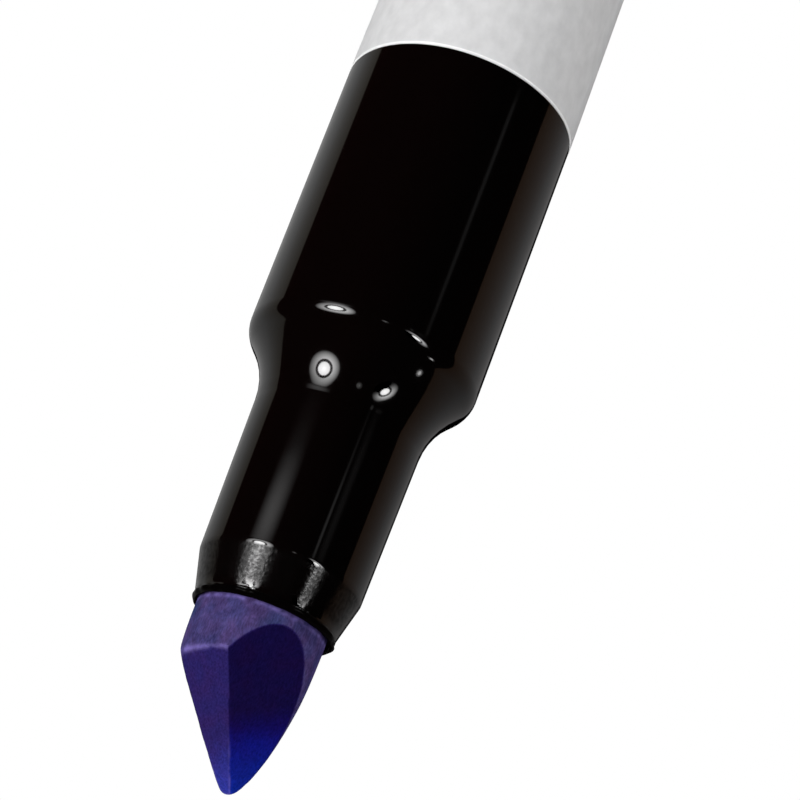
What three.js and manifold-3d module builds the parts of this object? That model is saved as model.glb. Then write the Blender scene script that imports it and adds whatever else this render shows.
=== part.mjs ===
// Furniture touch-up marker with a spring-loaded valve, cap posted on its tail. Millimetres, +Z up.
// The marker stands on the cap's closed end with the nib up. The origin is the centre of that end face,
// and Z is the axis of the barrel. Heights named "...Rise" are counted from the barrel's front edge.
import * as THREE from 'three';
import { mergeVertices } from 'three/addons/utils/BufferGeometryUtils.js';
import Module from 'manifold-3d';

const wasm = await Module();
wasm.setup();

// Smoothness of turned pieces
const SIDES = 48;
const BALL_SIDES = 16;
const ARC_STEP = 15 * Math.PI / 180;

// Clearances
const PRESS_GAP = 0.05;
const SLIDING_GAP = 0.10;
const CAP_GAP = 0.25;
const SPRING_GAP = 0.05;

// Barrel
const barrelRadius = 8.0;
const barrelWall = 1.3;
const barrelLength = 86;
const barrelEdgeRound = 0.2;

// Front section, outside
const sectionStep = 0.03;
const mainLength = 20.5;
const mainFrontRadius = 7.79;
const shoulderRound = 1.45;
const shoulderLength = 2.35;
const noseRearRadius = 5.66;
const shoulderHollow = 6.0;
const noseLength = 12.75;
const noseFrontRadius = 5.36;
const noseRound = 0.9;
const chamferLength = 2.75;
const chamferFrontRadius = 4.65;
const lipLength = 0.55;
const lipRadius = 4.69;
const lipGroove = 0.11;
const lipGrooveLength = 0.2;
const lipRound = 0.3;

// Front section, inside
const spigotLength = 10;
const spigotWall = 1.2;
const bodyBoreDepth = 17.5;
const noseBoreGap = 0.35;
const mouthBoreLength = 3.4;
const guideRibCount = 6;
const guideRibWidth = 0.9;

// Nib
const nibRadius = 4.25;
const nibLength = 37.82;
const nibReach = 10.47;
const nibOgiveStart = 0.94;
const nibOgiveRadius = 26.6;
const nibOgiveRings = 7;
const nibRearChamfer = 0.5;
const nibTravel = 2.0;
const broadFlat = { azimuth: 246.2, lean: 24.3, apexRise: 10.14 };
const stripFlat = { azimuth: 289.5, lean: 39.2, apexRise: 8.47 };
const backFlat = { azimuth: 16.2, lean: 33.1, apexRise: 9.37 };

// Valve
const housingWall = 0.9;
const housingFrontRise = 4;
const housingFrontWall = 1.5;
const housingHoleRadius = 2.3;
const housingFlange = 1.2;
const housingTailLength = 4.3;
const windowCount = 4;
const windowWidth = 2.6;
const windowLength = 2.4;
const gasketThickness = 0.5;
const gasketInset = 0.2;
const seatThickness = 1.2;
const seatHoleRadius = 1.9;
const stemRadius = 1.5;
const headRadius = 3.4;
const headThickness = 1.8;
const guidePinRadius = 1.3;
const guidePinLength = 9;
const stemChamfer = 0.3;
const retainerDisc = 1.2;
const retainerPlug = 2;
const retainerHoleRadius = 1.7;
const flowHoleCount = 6;
const flowHoleRadius = 0.7;
const flowCircleRadius = 3.0;

// Spring
const springWire = 0.5;
const springMeanRadius = 2.4;
const springCurls = 7;
const springStepsPerCurl = 8;
const springWireSides = 5;

// Buffer sleeve
const sleeveNibGap = 0.1;

// Tail plug
const plugFlange = 1.5;
const plugFlangeInset = 0.25;
const plugDepth = 7;
const plugWall = 1.3;
const plugFloor = 1.4;
const plugRound = 0.5;
const plugBeadHeight = 0.03;
const plugBeadWidth = 0.8;

// Mixing balls
const ballRadius = 2.5;
const ballSpacing = 5.8;

// Cap
const capLength = 50;
const capWall = 1.15;
const capEndWall = 1.6;
const capEndRound = 0.9;
const capMouthBead = 0.25;
const capMouthBeadLength = 2.2;
const capMouthRound = 0.2;
const linerWall = 1.0;
const linerFloor = 1.0;
const linerNoseGap = 0.1;
const linerSocketDepth = 8.5;
const tipClearance = 1.48;
const linerSealLength = 10.6;

// Pocket clip, moulded with the cap
const clipWidth = 5;
const clipThickness = 1.6;
const clipGap = 1.5;
const clipLength = 38;
const clipFoot = 5;
const clipStart = 1.5;
const clipPadGap = 0.35;
const clipPadLength = 4;
const clipRound = 0.7;

// Worked out from the values above
const barrelBore = barrelRadius - barrelWall;
const sectionRearRadius = barrelRadius - sectionStep;
const spigotRadius = barrelBore - PRESS_GAP;
const bodyBore = spigotRadius - spigotWall;
const noseBore = nibRadius + noseBoreGap;
const mouthBore = nibRadius + SLIDING_GAP;
const chamferRise = mainLength + shoulderLength + noseLength;
const lipRise = chamferRise + chamferLength;
const mouthRise = lipRise + lipLength;
const tipRise = mouthRise + nibReach;
const nibTailRise = tipRise - nibLength;
const linerBore = noseRearRadius + linerNoseGap;
const linerRadius = linerBore + linerWall;
const linerLength = linerFloor + tipClearance + nibReach + linerSealLength;
const capBore = barrelRadius + CAP_GAP;
const capRadius = capBore + capWall;
const plugFaceZ = capEndWall + linerLength;
const barrelTailZ = plugFaceZ + plugFlange;
const barrelEdgeZ = barrelTailZ + barrelLength;
const plugInnerZ = barrelTailZ + plugDepth;
const housingRadius = bodyBore - PRESS_GAP;
const housingBore = housingRadius - housingWall;
const seatFrontRise = housingFrontRise - housingFrontWall;
const seatRearRise = seatFrontRise - seatThickness;
const headRearRise = seatRearRise - headThickness;
const flangeFrontRise = -spigotLength - gasketThickness;
const flangeRearRise = flangeFrontRise - housingFlange;
const housingTailRise = flangeRearRise - housingTailLength;
const retainerFrontRise = housingTailRise + retainerPlug;

// Rounds each corner [r, z, radius] of a line of points with an arc, in steps of ARC_STEP.
function roundedLine(corners) {
  const points = [];
  corners.forEach(([r, z, radius], index) => {
    const corner = new THREE.Vector2(r, z);
    const before = corners[index - 1];
    const after = corners[index + 1];
    if (!radius || !before || !after) {
      points.push(corner);
      return;
    }
    const toBefore = new THREE.Vector2(before[0], before[1]).sub(corner).normalize();
    const toAfter = new THREE.Vector2(after[0], after[1]).sub(corner).normalize();
    const halfAngle = Math.acos(THREE.MathUtils.clamp(toBefore.dot(toAfter), -1, 1)) / 2;
    const centre = toBefore.clone().add(toAfter).normalize().multiplyScalar(radius / Math.sin(halfAngle)).add(corner);
    const start = toBefore.clone().multiplyScalar(radius / Math.tan(halfAngle)).add(corner).sub(centre);
    const end = toAfter.clone().multiplyScalar(radius / Math.tan(halfAngle)).add(corner).sub(centre);
    const turn = Math.atan2(start.x * end.y - start.y * end.x, start.dot(end));
    const steps = Math.max(1, Math.ceil(Math.abs(turn) / ARC_STEP));
    for (let step = 0; step <= steps; step += 1) {
      points.push(start.clone().rotateAround(new THREE.Vector2(), turn * step / steps).add(centre));
    }
  });
  return points;
}

// Keeps only positions, joins shared corners and drops triangles without area.
function joinedGeometry(geometry) {
  const bare = new THREE.BufferGeometry();
  bare.setAttribute('position', geometry.getAttribute('position').clone());
  if (geometry.index) bare.setIndex(geometry.index.clone());
  const joined = mergeVertices(bare, 1e-4);
  const kept = [];
  const index = joined.index.array;
  for (let i = 0; i < index.length; i += 3) {
    const [a, b, c] = [index[i], index[i + 1], index[i + 2]];
    if (a !== b && b !== c && c !== a) kept.push(a, b, c);
  }
  joined.setIndex(kept);
  return joined;
}

// Turns a closed or axis-to-axis outline of [r, z, round] corners about Z. The outline runs with the
// solid on its left, so that the faces point out.
function turned(corners, sides = SIDES) {
  const lathe = new THREE.LatheGeometry(roundedLine(corners), sides);
  lathe.rotateX(Math.PI / 2);
  return joinedGeometry(lathe);
}

function toSolid(geometry) {
  const joined = joinedGeometry(geometry);
  const mesh = new wasm.Mesh({
    numProp: 3,
    vertProperties: new Float32Array(joined.getAttribute('position').array),
    triVerts: new Uint32Array(joined.index.array),
  });
  return new wasm.Manifold(mesh);
}

function toGeometry(solid) {
  const mesh = solid.getMesh();
  const geometry = new THREE.BufferGeometry();
  geometry.setAttribute('position', new THREE.BufferAttribute(new Float32Array(mesh.vertProperties), 3));
  geometry.setIndex(new THREE.BufferAttribute(new Uint32Array(mesh.triVerts), 1));
  return geometry;
}

function cut(geometry, tools) {
  const solid = tools.reduce((rest, tool) => rest.subtract(toSolid(tool)), toSolid(geometry));
  return toGeometry(solid);
}

function join(geometry, additions) {
  const solid = additions.reduce((sum, piece) => sum.add(toSolid(piece)), toSolid(geometry));
  return toGeometry(solid);
}

// A box that spans the given lowest and highest corners.
function boxBetween(low, high) {
  const size = high.map((value, axis) => value - low[axis]);
  const box = new THREE.BoxGeometry(...size);
  box.translate(...low.map((value, axis) => value + size[axis] / 2));
  return box;
}

function turnedAboutZ(geometry, angle) {
  return geometry.clone().rotateZ(angle);
}

// The space in front of a slanted flat on the nib: everything beyond the plane that leans in by
// "lean" degrees from the axis, faces "azimuth" and crosses the axis at apexRise above the mouth.
function beyondFlat({ azimuth, lean, apexRise }) {
  const size = 4 * nibReach;
  const box = boxBetween([0, -size / 2, -size / 2], [size, size / 2, size / 2]);
  box.rotateY(-THREE.MathUtils.degToRad(lean));
  box.rotateZ(THREE.MathUtils.degToRad(azimuth));
  box.translate(0, 0, barrelEdgeZ + mouthRise + apexRise);
  return box;
}

function makeBarrel() {
  return turned([
    [barrelBore, barrelTailZ],
    [barrelRadius, barrelTailZ, barrelEdgeRound],
    [barrelRadius, barrelEdgeZ, barrelEdgeRound],
    [barrelBore, barrelEdgeZ],
    [barrelBore, barrelTailZ],
  ]);
}

function makeFrontSection() {
  const edge = barrelEdgeZ;
  const rear = edge - spigotLength;
  const noseBoreStart = edge + bodyBoreDepth;
  const mouthBoreStart = edge + mouthRise - mouthBoreLength;
  const shell = turned([
    [bodyBore, rear],
    [spigotRadius, rear],
    [spigotRadius, edge],
    [sectionRearRadius, edge],
    [mainFrontRadius, edge + mainLength, shoulderRound],
    [noseRearRadius, edge + mainLength + shoulderLength, shoulderHollow],
    [noseFrontRadius, edge + chamferRise, noseRound],
    [chamferFrontRadius, edge + lipRise],
    [lipRadius - lipGroove, edge + lipRise + lipGrooveLength / 2],
    [lipRadius, edge + lipRise + lipGrooveLength],
    [lipRadius, edge + mouthRise, lipRound],
    [mouthBore, edge + mouthRise],
    [mouthBore, mouthBoreStart],
    [noseBore, mouthBoreStart],
    [noseBore, noseBoreStart],
    [bodyBore, noseBoreStart],
    [bodyBore, rear],
  ]);
  const rib = boxBetween(
    [mouthBore, -guideRibWidth / 2, noseBoreStart],
    [noseBore + noseBoreGap, guideRibWidth / 2, mouthBoreStart],
  );
  const ribs = Array.from({ length: guideRibCount }, (_, i) => turnedAboutZ(rib, 2 * Math.PI * i / guideRibCount));
  return join(shell, ribs);
}

// The rod narrows in front as an ogive: a shallow arc that leaves its side without a corner.
function makeNib() {
  const ogiveZ = barrelEdgeZ + mouthRise + nibOgiveStart;
  const tail = barrelEdgeZ + nibTailRise;
  const tip = barrelEdgeZ + tipRise;
  const ogive = Array.from({ length: nibOgiveRings + 1 }, (_, i) => {
    const ahead = (tip - ogiveZ) * i / nibOgiveRings;
    return [nibRadius - ahead ** 2 / (2 * nibOgiveRadius), ogiveZ + ahead];
  });
  const rod = turned([
    [0, tail],
    [nibRadius - nibRearChamfer, tail],
    [nibRadius, tail + nibRearChamfer],
    ...ogive,
    [0, tip],
  ]);
  return cut(rod, [broadFlat, stripFlat, backFlat].map(beyondFlat));
}

function makeValveGasket() {
  const rear = barrelEdgeZ + flangeFrontRise;
  const front = rear + gasketThickness;
  const inner = bodyBore + gasketInset;
  const outer = spigotRadius - gasketInset;
  return turned([[inner, rear], [outer, rear], [outer, front], [inner, front], [inner, rear]]);
}

function makeValveHousing() {
  const front = barrelEdgeZ + housingFrontRise;
  const wallBack = front - housingFrontWall;
  const flangeFront = barrelEdgeZ + flangeFrontRise;
  const flangeRear = barrelEdgeZ + flangeRearRise;
  const tail = barrelEdgeZ + housingTailRise;
  const tube = turned([
    [housingBore, tail],
    [housingRadius, tail],
    [housingRadius, flangeRear],
    [spigotRadius, flangeRear],
    [spigotRadius, flangeFront],
    [housingRadius, flangeFront],
    [housingRadius, front],
    [housingHoleRadius, front],
    [housingHoleRadius, wallBack],
    [housingBore, wallBack],
    [housingBore, tail],
  ]);
  const windowLow = (flangeRear + tail + retainerPlug - windowLength) / 2;
  const window = boxBetween(
    [housingBore / 2, -windowWidth / 2, windowLow],
    [barrelRadius, windowWidth / 2, windowLow + windowLength],
  );
  const windows = Array.from({ length: windowCount }, (_, i) => turnedAboutZ(window, 2 * Math.PI * i / windowCount));
  return cut(tube, windows);
}

function makeValveSeat() {
  const rear = barrelEdgeZ + seatRearRise;
  const front = barrelEdgeZ + seatFrontRise;
  const outer = housingBore - PRESS_GAP;
  return turned([[seatHoleRadius, rear], [outer, rear], [outer, front], [seatHoleRadius, front], [seatHoleRadius, rear]]);
}

function makeValvePlunger() {
  const headFront = barrelEdgeZ + seatRearRise;
  const headRear = barrelEdgeZ + headRearRise;
  const stemFront = barrelEdgeZ + nibTailRise;
  return turned([
    [0, headRear - guidePinLength],
    [guidePinRadius - stemChamfer, headRear - guidePinLength],
    [guidePinRadius, headRear - guidePinLength + stemChamfer],
    [guidePinRadius, headRear],
    [headRadius, headRear],
    [headRadius, headFront],
    [stemRadius, headFront],
    [stemRadius, stemFront],
    [0, stemFront],
  ]);
}

// One unbroken wire: rings of points carried along a helix, with a flat end on each side.
function makeValveSpring() {
  const low = barrelEdgeZ + retainerFrontRise + SPRING_GAP + springWire / 2;
  const high = barrelEdgeZ + headRearRise - SPRING_GAP - springWire / 2;
  const steps = springCurls * springStepsPerCurl;
  const positions = [];
  const index = [];
  for (let step = 0; step <= steps; step += 1) {
    const angle = 2 * Math.PI * step / springStepsPerCurl;
    const height = low + (high - low) * step / steps;
    for (let side = 0; side < springWireSides; side += 1) {
      const around = 2 * Math.PI * side / springWireSides;
      const reach = springMeanRadius + springWire / 2 * Math.cos(around);
      positions.push(reach * Math.cos(angle), reach * Math.sin(angle), height + springWire / 2 * Math.sin(around));
    }
  }
  const corner = (step, side) => step * springWireSides + side % springWireSides;
  for (let step = 0; step < steps; step += 1) {
    for (let side = 0; side < springWireSides; side += 1) {
      const [a, b] = [corner(step, side), corner(step, side + 1)];
      const [c, d] = [corner(step + 1, side), corner(step + 1, side + 1)];
      index.push(a, c, b, b, c, d);
    }
  }
  for (let side = 1; side < springWireSides - 1; side += 1) {
    index.push(corner(0, 0), corner(0, side), corner(0, side + 1));
    index.push(corner(steps, 0), corner(steps, side + 1), corner(steps, side));
  }
  const wire = new THREE.BufferGeometry();
  wire.setAttribute('position', new THREE.Float32BufferAttribute(positions, 3));
  wire.setIndex(index);
  console.log('least gap between spring curls, mm:', ((high - low) / springCurls - springWire).toFixed(2));
  return wire;
}

function makeSpringRetainer() {
  const discRear = barrelEdgeZ + housingTailRise - retainerDisc;
  const discFront = barrelEdgeZ + housingTailRise;
  const plugFront = barrelEdgeZ + retainerFrontRise;
  const plugRadius = housingBore - PRESS_GAP;
  const disc = turned([
    [retainerHoleRadius, discRear],
    [housingRadius, discRear],
    [housingRadius, discFront],
    [plugRadius, discFront],
    [plugRadius, plugFront],
    [retainerHoleRadius, plugFront],
    [retainerHoleRadius, discRear],
  ]);
  const hole = new THREE.CylinderGeometry(flowHoleRadius, flowHoleRadius, 4 * (retainerDisc + retainerPlug), 12);
  hole.rotateX(Math.PI / 2);
  hole.translate(flowCircleRadius, 0, discFront);
  const holes = Array.from({ length: flowHoleCount }, (_, i) => turnedAboutZ(hole, 2 * Math.PI * i / flowHoleCount));
  return cut(disc, holes);
}

function makeBufferSleeve() {
  const rear = barrelEdgeZ + housingFrontRise;
  const front = barrelEdgeZ + bodyBoreDepth;
  const inner = nibRadius + sleeveNibGap;
  const outer = bodyBore - PRESS_GAP;
  return turned([[inner, rear], [outer, rear], [outer, front], [inner, front], [inner, rear]]);
}

function makeTailPlug() {
  const flangeRadius = barrelRadius - plugFlangeInset;
  const stubRadius = barrelBore - PRESS_GAP;
  const recessRadius = stubRadius - plugWall;
  const beadCentre = barrelTailZ + plugDepth / 2;
  return turned([
    [0, plugInnerZ - plugFloor],
    [recessRadius, plugInnerZ - plugFloor],
    [recessRadius, plugFaceZ],
    [flangeRadius, plugFaceZ, plugRound],
    [flangeRadius, barrelTailZ],
    [stubRadius, barrelTailZ],
    [stubRadius, beadCentre - plugBeadWidth / 2],
    [stubRadius + plugBeadHeight, beadCentre],
    [stubRadius, beadCentre + plugBeadWidth / 2],
    [stubRadius, plugInnerZ],
    [0, plugInnerZ],
  ]);
}

function makeMixingBall(side) {
  const centre = new THREE.Vector3(side * ballSpacing / 2, 0, plugInnerZ + ballRadius);
  const rings = BALL_SIDES / 2;
  const outline = Array.from({ length: rings + 1 }, (_, i) => {
    const angle = -Math.PI / 2 + Math.PI * i / rings;
    const onAxis = i === 0 || i === rings;
    return [onAxis ? 0 : ballRadius * Math.cos(angle), ballRadius * Math.sin(angle)];
  });
  return turned(outline, BALL_SIDES).translate(centre.x, centre.y, centre.z);
}

// The clip's side outline, extruded across its width, stands off the cap towards -Y. Its foot
// reaches into the cap's wall, and a pad near the free end almost touches the cap.
function makeClip() {
  const near = capRadius + clipGap;
  const far = near + clipThickness;
  const inWall = capRadius - capWall / 2;
  const end = clipStart + clipLength;
  const pad = capRadius + capMouthBead + clipPadGap;
  const outline = roundedLine([
    [inWall, clipStart],
    [far, clipStart, clipRound],
    [far, end, clipRound],
    [pad, end, clipRound / 2],
    [pad, end - clipPadLength / 2],
    [near, end - clipPadLength],
    [near, clipStart + clipFoot, clipRound],
    [inWall, clipStart + clipFoot],
  ]);
  const strip = new THREE.ExtrudeGeometry(new THREE.Shape(outline), { depth: clipWidth, bevelEnabled: false });
  // Outline x becomes -Y and outline y becomes +Z, centred on X.
  strip.translate(0, 0, -clipWidth / 2);
  strip.rotateX(Math.PI / 2);
  strip.rotateZ(-Math.PI / 2);
  return strip;
}

function makeCap() {
  const socketEnd = capEndWall + linerSocketDepth;
  const socketRadius = linerRadius + PRESS_GAP;
  const shell = turned([
    [0, 0],
    [capRadius, 0, capEndRound],
    [capRadius, capLength - capMouthBeadLength],
    [capRadius + capMouthBead, capLength - capMouthBeadLength + capMouthBead],
    [capRadius + capMouthBead, capLength, capMouthRound],
    [capBore, capLength],
    [capBore, socketEnd + capBore - socketRadius],
    [socketRadius, socketEnd],
    [socketRadius, capEndWall],
    [0, capEndWall],
  ]);
  return join(shell, [makeClip()]);
}

function makeCapLiner() {
  const floorTop = capEndWall + linerFloor;
  const rim = capEndWall + linerLength;
  return turned([
    [0, capEndWall],
    [linerRadius, capEndWall],
    [linerRadius, rim],
    [linerBore, rim],
    [linerBore, floorTop],
    [0, floorTop],
  ]);
}

const finishes = {
  greyPlastic: { color: 0xd9d9d8, roughness: 0.38, metalness: 0 },
  blackPlastic: { color: 0x050506, roughness: 0.12, metalness: 0 },
  naturalPlastic: { color: 0xe9e6dc, roughness: 0.5, metalness: 0 },
  dyedFelt: { color: 0x34266b, roughness: 0.95, metalness: 0 },
  paleFelt: { color: 0xdcd6c6, roughness: 0.95, metalness: 0 },
  rubber: { color: 0x26262a, roughness: 0.8, metalness: 0 },
  steel: { color: 0xb9bcc0, roughness: 0.25, metalness: 1 },
};

const group = new THREE.Group();

function place(name, geometry, finish) {
  const mesh = new THREE.Mesh(geometry, new THREE.MeshStandardMaterial(finishes[finish]));
  mesh.name = name;
  group.add(mesh);
}

place('barrel', makeBarrel(), 'greyPlastic');
place('tail_plug', makeTailPlug(), 'blackPlastic');
place('front_section', makeFrontSection(), 'blackPlastic');
place('nib', makeNib(), 'dyedFelt');
place('buffer_sleeve', makeBufferSleeve(), 'paleFelt');
place('valve_gasket', makeValveGasket(), 'rubber');
place('valve_housing', makeValveHousing(), 'naturalPlastic');
place('valve_seat', makeValveSeat(), 'rubber');
place('valve_plunger', makeValvePlunger(), 'naturalPlastic');
place('valve_spring', makeValveSpring(), 'steel');
place('spring_retainer', makeSpringRetainer(), 'naturalPlastic');
place('mixing_ball_1', makeMixingBall(-1), 'steel');
place('mixing_ball_2', makeMixingBall(1), 'steel');
place('cap', makeCap(), 'blackPlastic');
place('cap_liner', makeCapLiner(), 'naturalPlastic');

export default group;
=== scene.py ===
"""Touch-up marker for furniture: the looks of every piece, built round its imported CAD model.

The marker stands on its cap with the nib up, along Z. Profiles are written in millimetres and meshes
are made in metres. Each sub-assembly is a class that works out its own surfaces with numpy, gives
them a finish and hangs them on the CAD body that they move with.
"""

import itertools
import logging
from collections.abc import Callable, Sequence
from dataclasses import dataclass
from enum import Enum
from typing import Any, ClassVar

import bpy
import numpy as np
from mathutils import Matrix, Vector


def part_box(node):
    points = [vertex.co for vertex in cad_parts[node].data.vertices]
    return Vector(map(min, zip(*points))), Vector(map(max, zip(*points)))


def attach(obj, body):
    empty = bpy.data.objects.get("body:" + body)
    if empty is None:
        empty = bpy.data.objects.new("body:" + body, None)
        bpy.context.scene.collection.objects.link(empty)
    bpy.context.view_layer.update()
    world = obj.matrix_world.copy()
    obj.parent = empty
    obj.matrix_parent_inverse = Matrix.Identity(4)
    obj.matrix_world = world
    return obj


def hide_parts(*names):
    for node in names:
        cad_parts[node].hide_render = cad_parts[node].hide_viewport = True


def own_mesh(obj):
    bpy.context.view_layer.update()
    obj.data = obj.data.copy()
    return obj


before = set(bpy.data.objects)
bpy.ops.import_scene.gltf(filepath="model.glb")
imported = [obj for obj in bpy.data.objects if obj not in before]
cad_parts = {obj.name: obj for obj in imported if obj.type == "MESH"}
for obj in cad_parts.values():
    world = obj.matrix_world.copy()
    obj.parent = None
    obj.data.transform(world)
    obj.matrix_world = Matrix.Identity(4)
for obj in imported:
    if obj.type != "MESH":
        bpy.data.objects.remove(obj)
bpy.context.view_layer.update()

Array = np.ndarray
Pair = tuple[float, float]
Triple = tuple[float, float, float]
Colour = tuple[float, float, float, float]
Mesh = bpy.types.Mesh
Object = bpy.types.Object
Material = bpy.types.Material
Tree = bpy.types.NodeTree
Node = bpy.types.Node
Socket = bpy.types.NodeSocket
log = logging.getLogger("marker")

MM = 0.001
ARC_STEP = np.radians(9)
RING_SPACING = 0.45
SHARP_ANGLE = np.radians(40)
NOISE_KEY = np.array([12.9898, 78.233, 37.719])
NOISE_GAIN = 43758.5453


class Body(Enum):
    """The CAD bodies that pieces ride on."""

    BARREL = "barrel"
    NIB = "nib"
    PLUNGER = "valve_plunger"
    BALL_1 = "mixing_ball_1"
    BALL_2 = "mixing_ball_2"
    CAP = "cap"


class Slot(Enum):
    """The record's material slots."""

    BARREL_PLASTIC = "barrel_plastic"
    BLACK_PLASTIC = "black_plastic"
    NIB_FELT = "nib_felt"
    BUFFER_FELT = "buffer_felt"
    NATURAL_PLASTIC = "natural_plastic"
    SEAL_RUBBER = "seal_rubber"
    SPRING_STEEL = "spring_steel"
    BALL_STEEL = "ball_steel"


# Colours and nodes


def linear(colour: str) -> Colour:
    """Turns an sRGB hex colour into linear red, green, blue and alpha.

    Args:
        colour: six hex digits after a hash sign.

    Returns:
        The linear colour: a channel above 0.04045 is ((c + 0.055) / 1.055) to the power 2.4, and a
        darker one is c / 12.92.
    """
    channels = np.array([int(colour[i : i + 2], 16) for i in (1, 3, 5)]) / 255
    bright = ((channels + 0.055) / 1.055) ** 2.4
    red, green, blue = np.where(channels > 0.04045, bright, channels / 12.92)
    return float(red), float(green), float(blue), 1.0


def per_metre(size_mm: float) -> float:
    """The texture scale at which a pattern's features measure size_mm."""
    return 1 / (size_mm * MM)


def emptied_tree(owner: Material | bpy.types.World) -> Tree:
    """Turns a material or a world over to nodes, and returns its node tree with nothing in it."""
    owner.use_nodes = True
    owner.node_tree.nodes.clear()
    return owner.node_tree


def add_node(tree: Tree, kind: str, *values: Any, **settings: Any) -> Node:
    """Adds a shader node with its settings, input values and links.

    Args:
        tree: the node tree that gets the node.
        kind: the node's type without its prefix, such as Bump.
        values: one for each input in use, in the node's own order, or a single dict from the inputs'
            names to values. A value can be an output socket, or a node: its first output in use.
        settings: the node's own properties.

    Returns:
        The new node.
    """
    node = tree.nodes.new("ShaderNode" + kind)
    for name, value in settings.items():
        setattr(node, name, value)
    used = [socket for socket in node.inputs if socket.enabled]
    if values and isinstance(values[0], dict):
        named = {socket.name: socket for socket in used}
        pairs = [(named[name], value) for name, value in values[0].items()]
    else:
        pairs = list(zip(used, values))
    for socket, value in pairs:
        if isinstance(value, Node):
            value = next(output for output in value.outputs if output.enabled)
        if isinstance(value, Socket):
            tree.links.new(value, socket)
        else:
            socket.default_value = value
    return node


# Finishes


@dataclass(frozen=True)
class Finish:
    """A finish: what the real material is, and how its surface was made.

    A pair of numbers runs from where its pattern is lowest to where it is highest. A span is the pair
    of pattern or attribute values between which something fades in.
    """

    name: ClassVar[str] = ""

    def surface(self, tree: Tree, place: Socket) -> dict[str, Any]:
        """Adds the finish's own nodes, laid out by the place on the piece.

        Returns:
            What each input of its shader gets.
        """
        raise NotImplementedError

    def material(self) -> Material:
        """Returns the finish's material, made at its first use and shared after that."""
        made = bpy.data.materials.get(self.name)
        if not made:
            made = bpy.data.materials.new(self.name)
            tree = emptied_tree(made)
            place = add_node(tree, "TexCoord").outputs["Object"]
            add_node(tree, "OutputMaterial", add_node(tree, "BsdfPrincipled", self.surface(tree, place)))
        return made


@dataclass(frozen=True)
class SatinPolypropylene(Finish):
    """Injection-moulded polypropylene with a light grey pigment, from a finely blasted tool.

    It scatters most light, keeps a wide soft sheen, and shows faint clouds along the flow. Its front
    rim is painted near white: a painted highlight where the rounded edge catches the light.
    """

    name: ClassVar[str] = "satin grey polypropylene"
    light: str = "#e1e1e2"
    dark: str = "#d4d4d5"
    # painted highlight: near-white colour for the front rim's rounded edge, where it catches the light
    rim: str = "#fbfbfb"
    roughness: Pair = (0.32, 0.42)
    cloud_mm: float = 0.9
    cloud_span: Pair = (0.3, 0.7)
    grain_mm: float = 0.28
    grain_depth_mm: float = 0.004
    flow_stretch: float = 0.75

    def surface(self, tree: Tree, place: Socket) -> dict[str, Any]:
        """Clouds drawn out along the flow tint the colour, the rim attribute whitens it as a painted
        highlight, and a blasted grain lifts the surface."""
        flow = add_node(tree, "Mapping", {"Vector": place, "Scale": (1, 1, self.flow_stretch)})
        clouds = add_node(tree, "TexNoise", flow, per_metre(self.cloud_mm), 4.0)
        grain = add_node(tree, "TexNoise", place, per_metre(self.grain_mm), 1.0)
        cloudy = add_node(tree, "MapRange", clouds, *self.cloud_span)
        colour = add_node(tree, "Mix", cloudy, linear(self.dark), linear(self.light), data_type="RGBA")
        # painted highlight: the rim mark whitens the colour at the front edge
        rim_highlight_share = add_node(tree, "Attribute", attribute_name="rim").outputs["Fac"]
        return {
            "Base Color": add_node(tree, "Mix", rim_highlight_share, colour, linear(self.rim), data_type="RGBA"),
            "Roughness": add_node(tree, "MapRange", clouds, 0, 1, *self.roughness),
            "Normal": add_node(tree, "Bump", {"Height": grain, "Distance": self.grain_depth_mm * MM}),
        }


@dataclass(frozen=True)
class GlossPolypropylene(Finish):
    """Injection-moulded polypropylene with carbon black, from a polished tool.

    It is nearly a black mirror: it shows the lamps crisply, bent a little by a shallow ripple. Where
    the cap has rubbed it, it is dull with a fine grain, and where stain has dried it is nearly matt.
    """

    name: ClassVar[str] = "gloss black polypropylene"
    # painted reflection: the faint warm tint of this near-black stands in for a warm reflection
    colour: str = "#030202"
    roughness: Pair = (0.045, 0.078)
    rubbed_roughness: float = 0.17
    gloss: float = 0.5
    rubbed_gloss: Pair = (0.14, 0.32)
    crusted_gloss: float = 0.015
    ripple_mm: float = 3.5
    ripple_depth_mm: float = 0.005
    haze_mm: float = 1.2
    scuff_mm: float = 0.24
    scuff_span: Pair = (0.35, 0.65)
    scuff_depth_mm: float = 0.01

    def surface(self, tree: Tree, place: Socket) -> dict[str, Any]:
        """A shallow ripple bends the reflections, a fine haze varies how sharp they are, and the rubbed
        and crusted attributes bring in the dull grain and the dried stain."""
        ripple = add_node(tree, "TexNoise", place, per_metre(self.ripple_mm), 1.5)
        haze = add_node(tree, "TexNoise", place, per_metre(self.haze_mm), 4.0)
        scuff = add_node(tree, "TexNoise", place, per_metre(self.scuff_mm), 1.0)
        rubbed = add_node(tree, "Attribute", attribute_name="rubbed").outputs["Fac"]
        crusted = add_node(tree, "Attribute", attribute_name="crusted").outputs["Fac"]
        worn = add_node(tree, "Math", rubbed, crusted, operation="MAXIMUM")
        wavy = add_node(tree, "Bump", {"Height": ripple, "Distance": self.ripple_depth_mm * MM})
        scuffed = {"Strength": worn, "Height": scuff, "Distance": self.scuff_depth_mm * MM, "Normal": wavy}
        polished = add_node(tree, "MapRange", haze, 0, 1, *self.roughness)
        patchy = add_node(tree, "MapRange", scuff, *self.scuff_span, *self.rubbed_gloss)
        gloss = add_node(tree, "Mix", rubbed, self.gloss, patchy)
        return {
            "Base Color": linear(self.colour),
            "Roughness": add_node(tree, "Mix", worn, polished, self.rubbed_roughness),
            "Specular IOR Level": add_node(tree, "Mix", crusted, gloss, self.crusted_gloss),
            "Normal": add_node(tree, "Bump", scuffed),
        }


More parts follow.
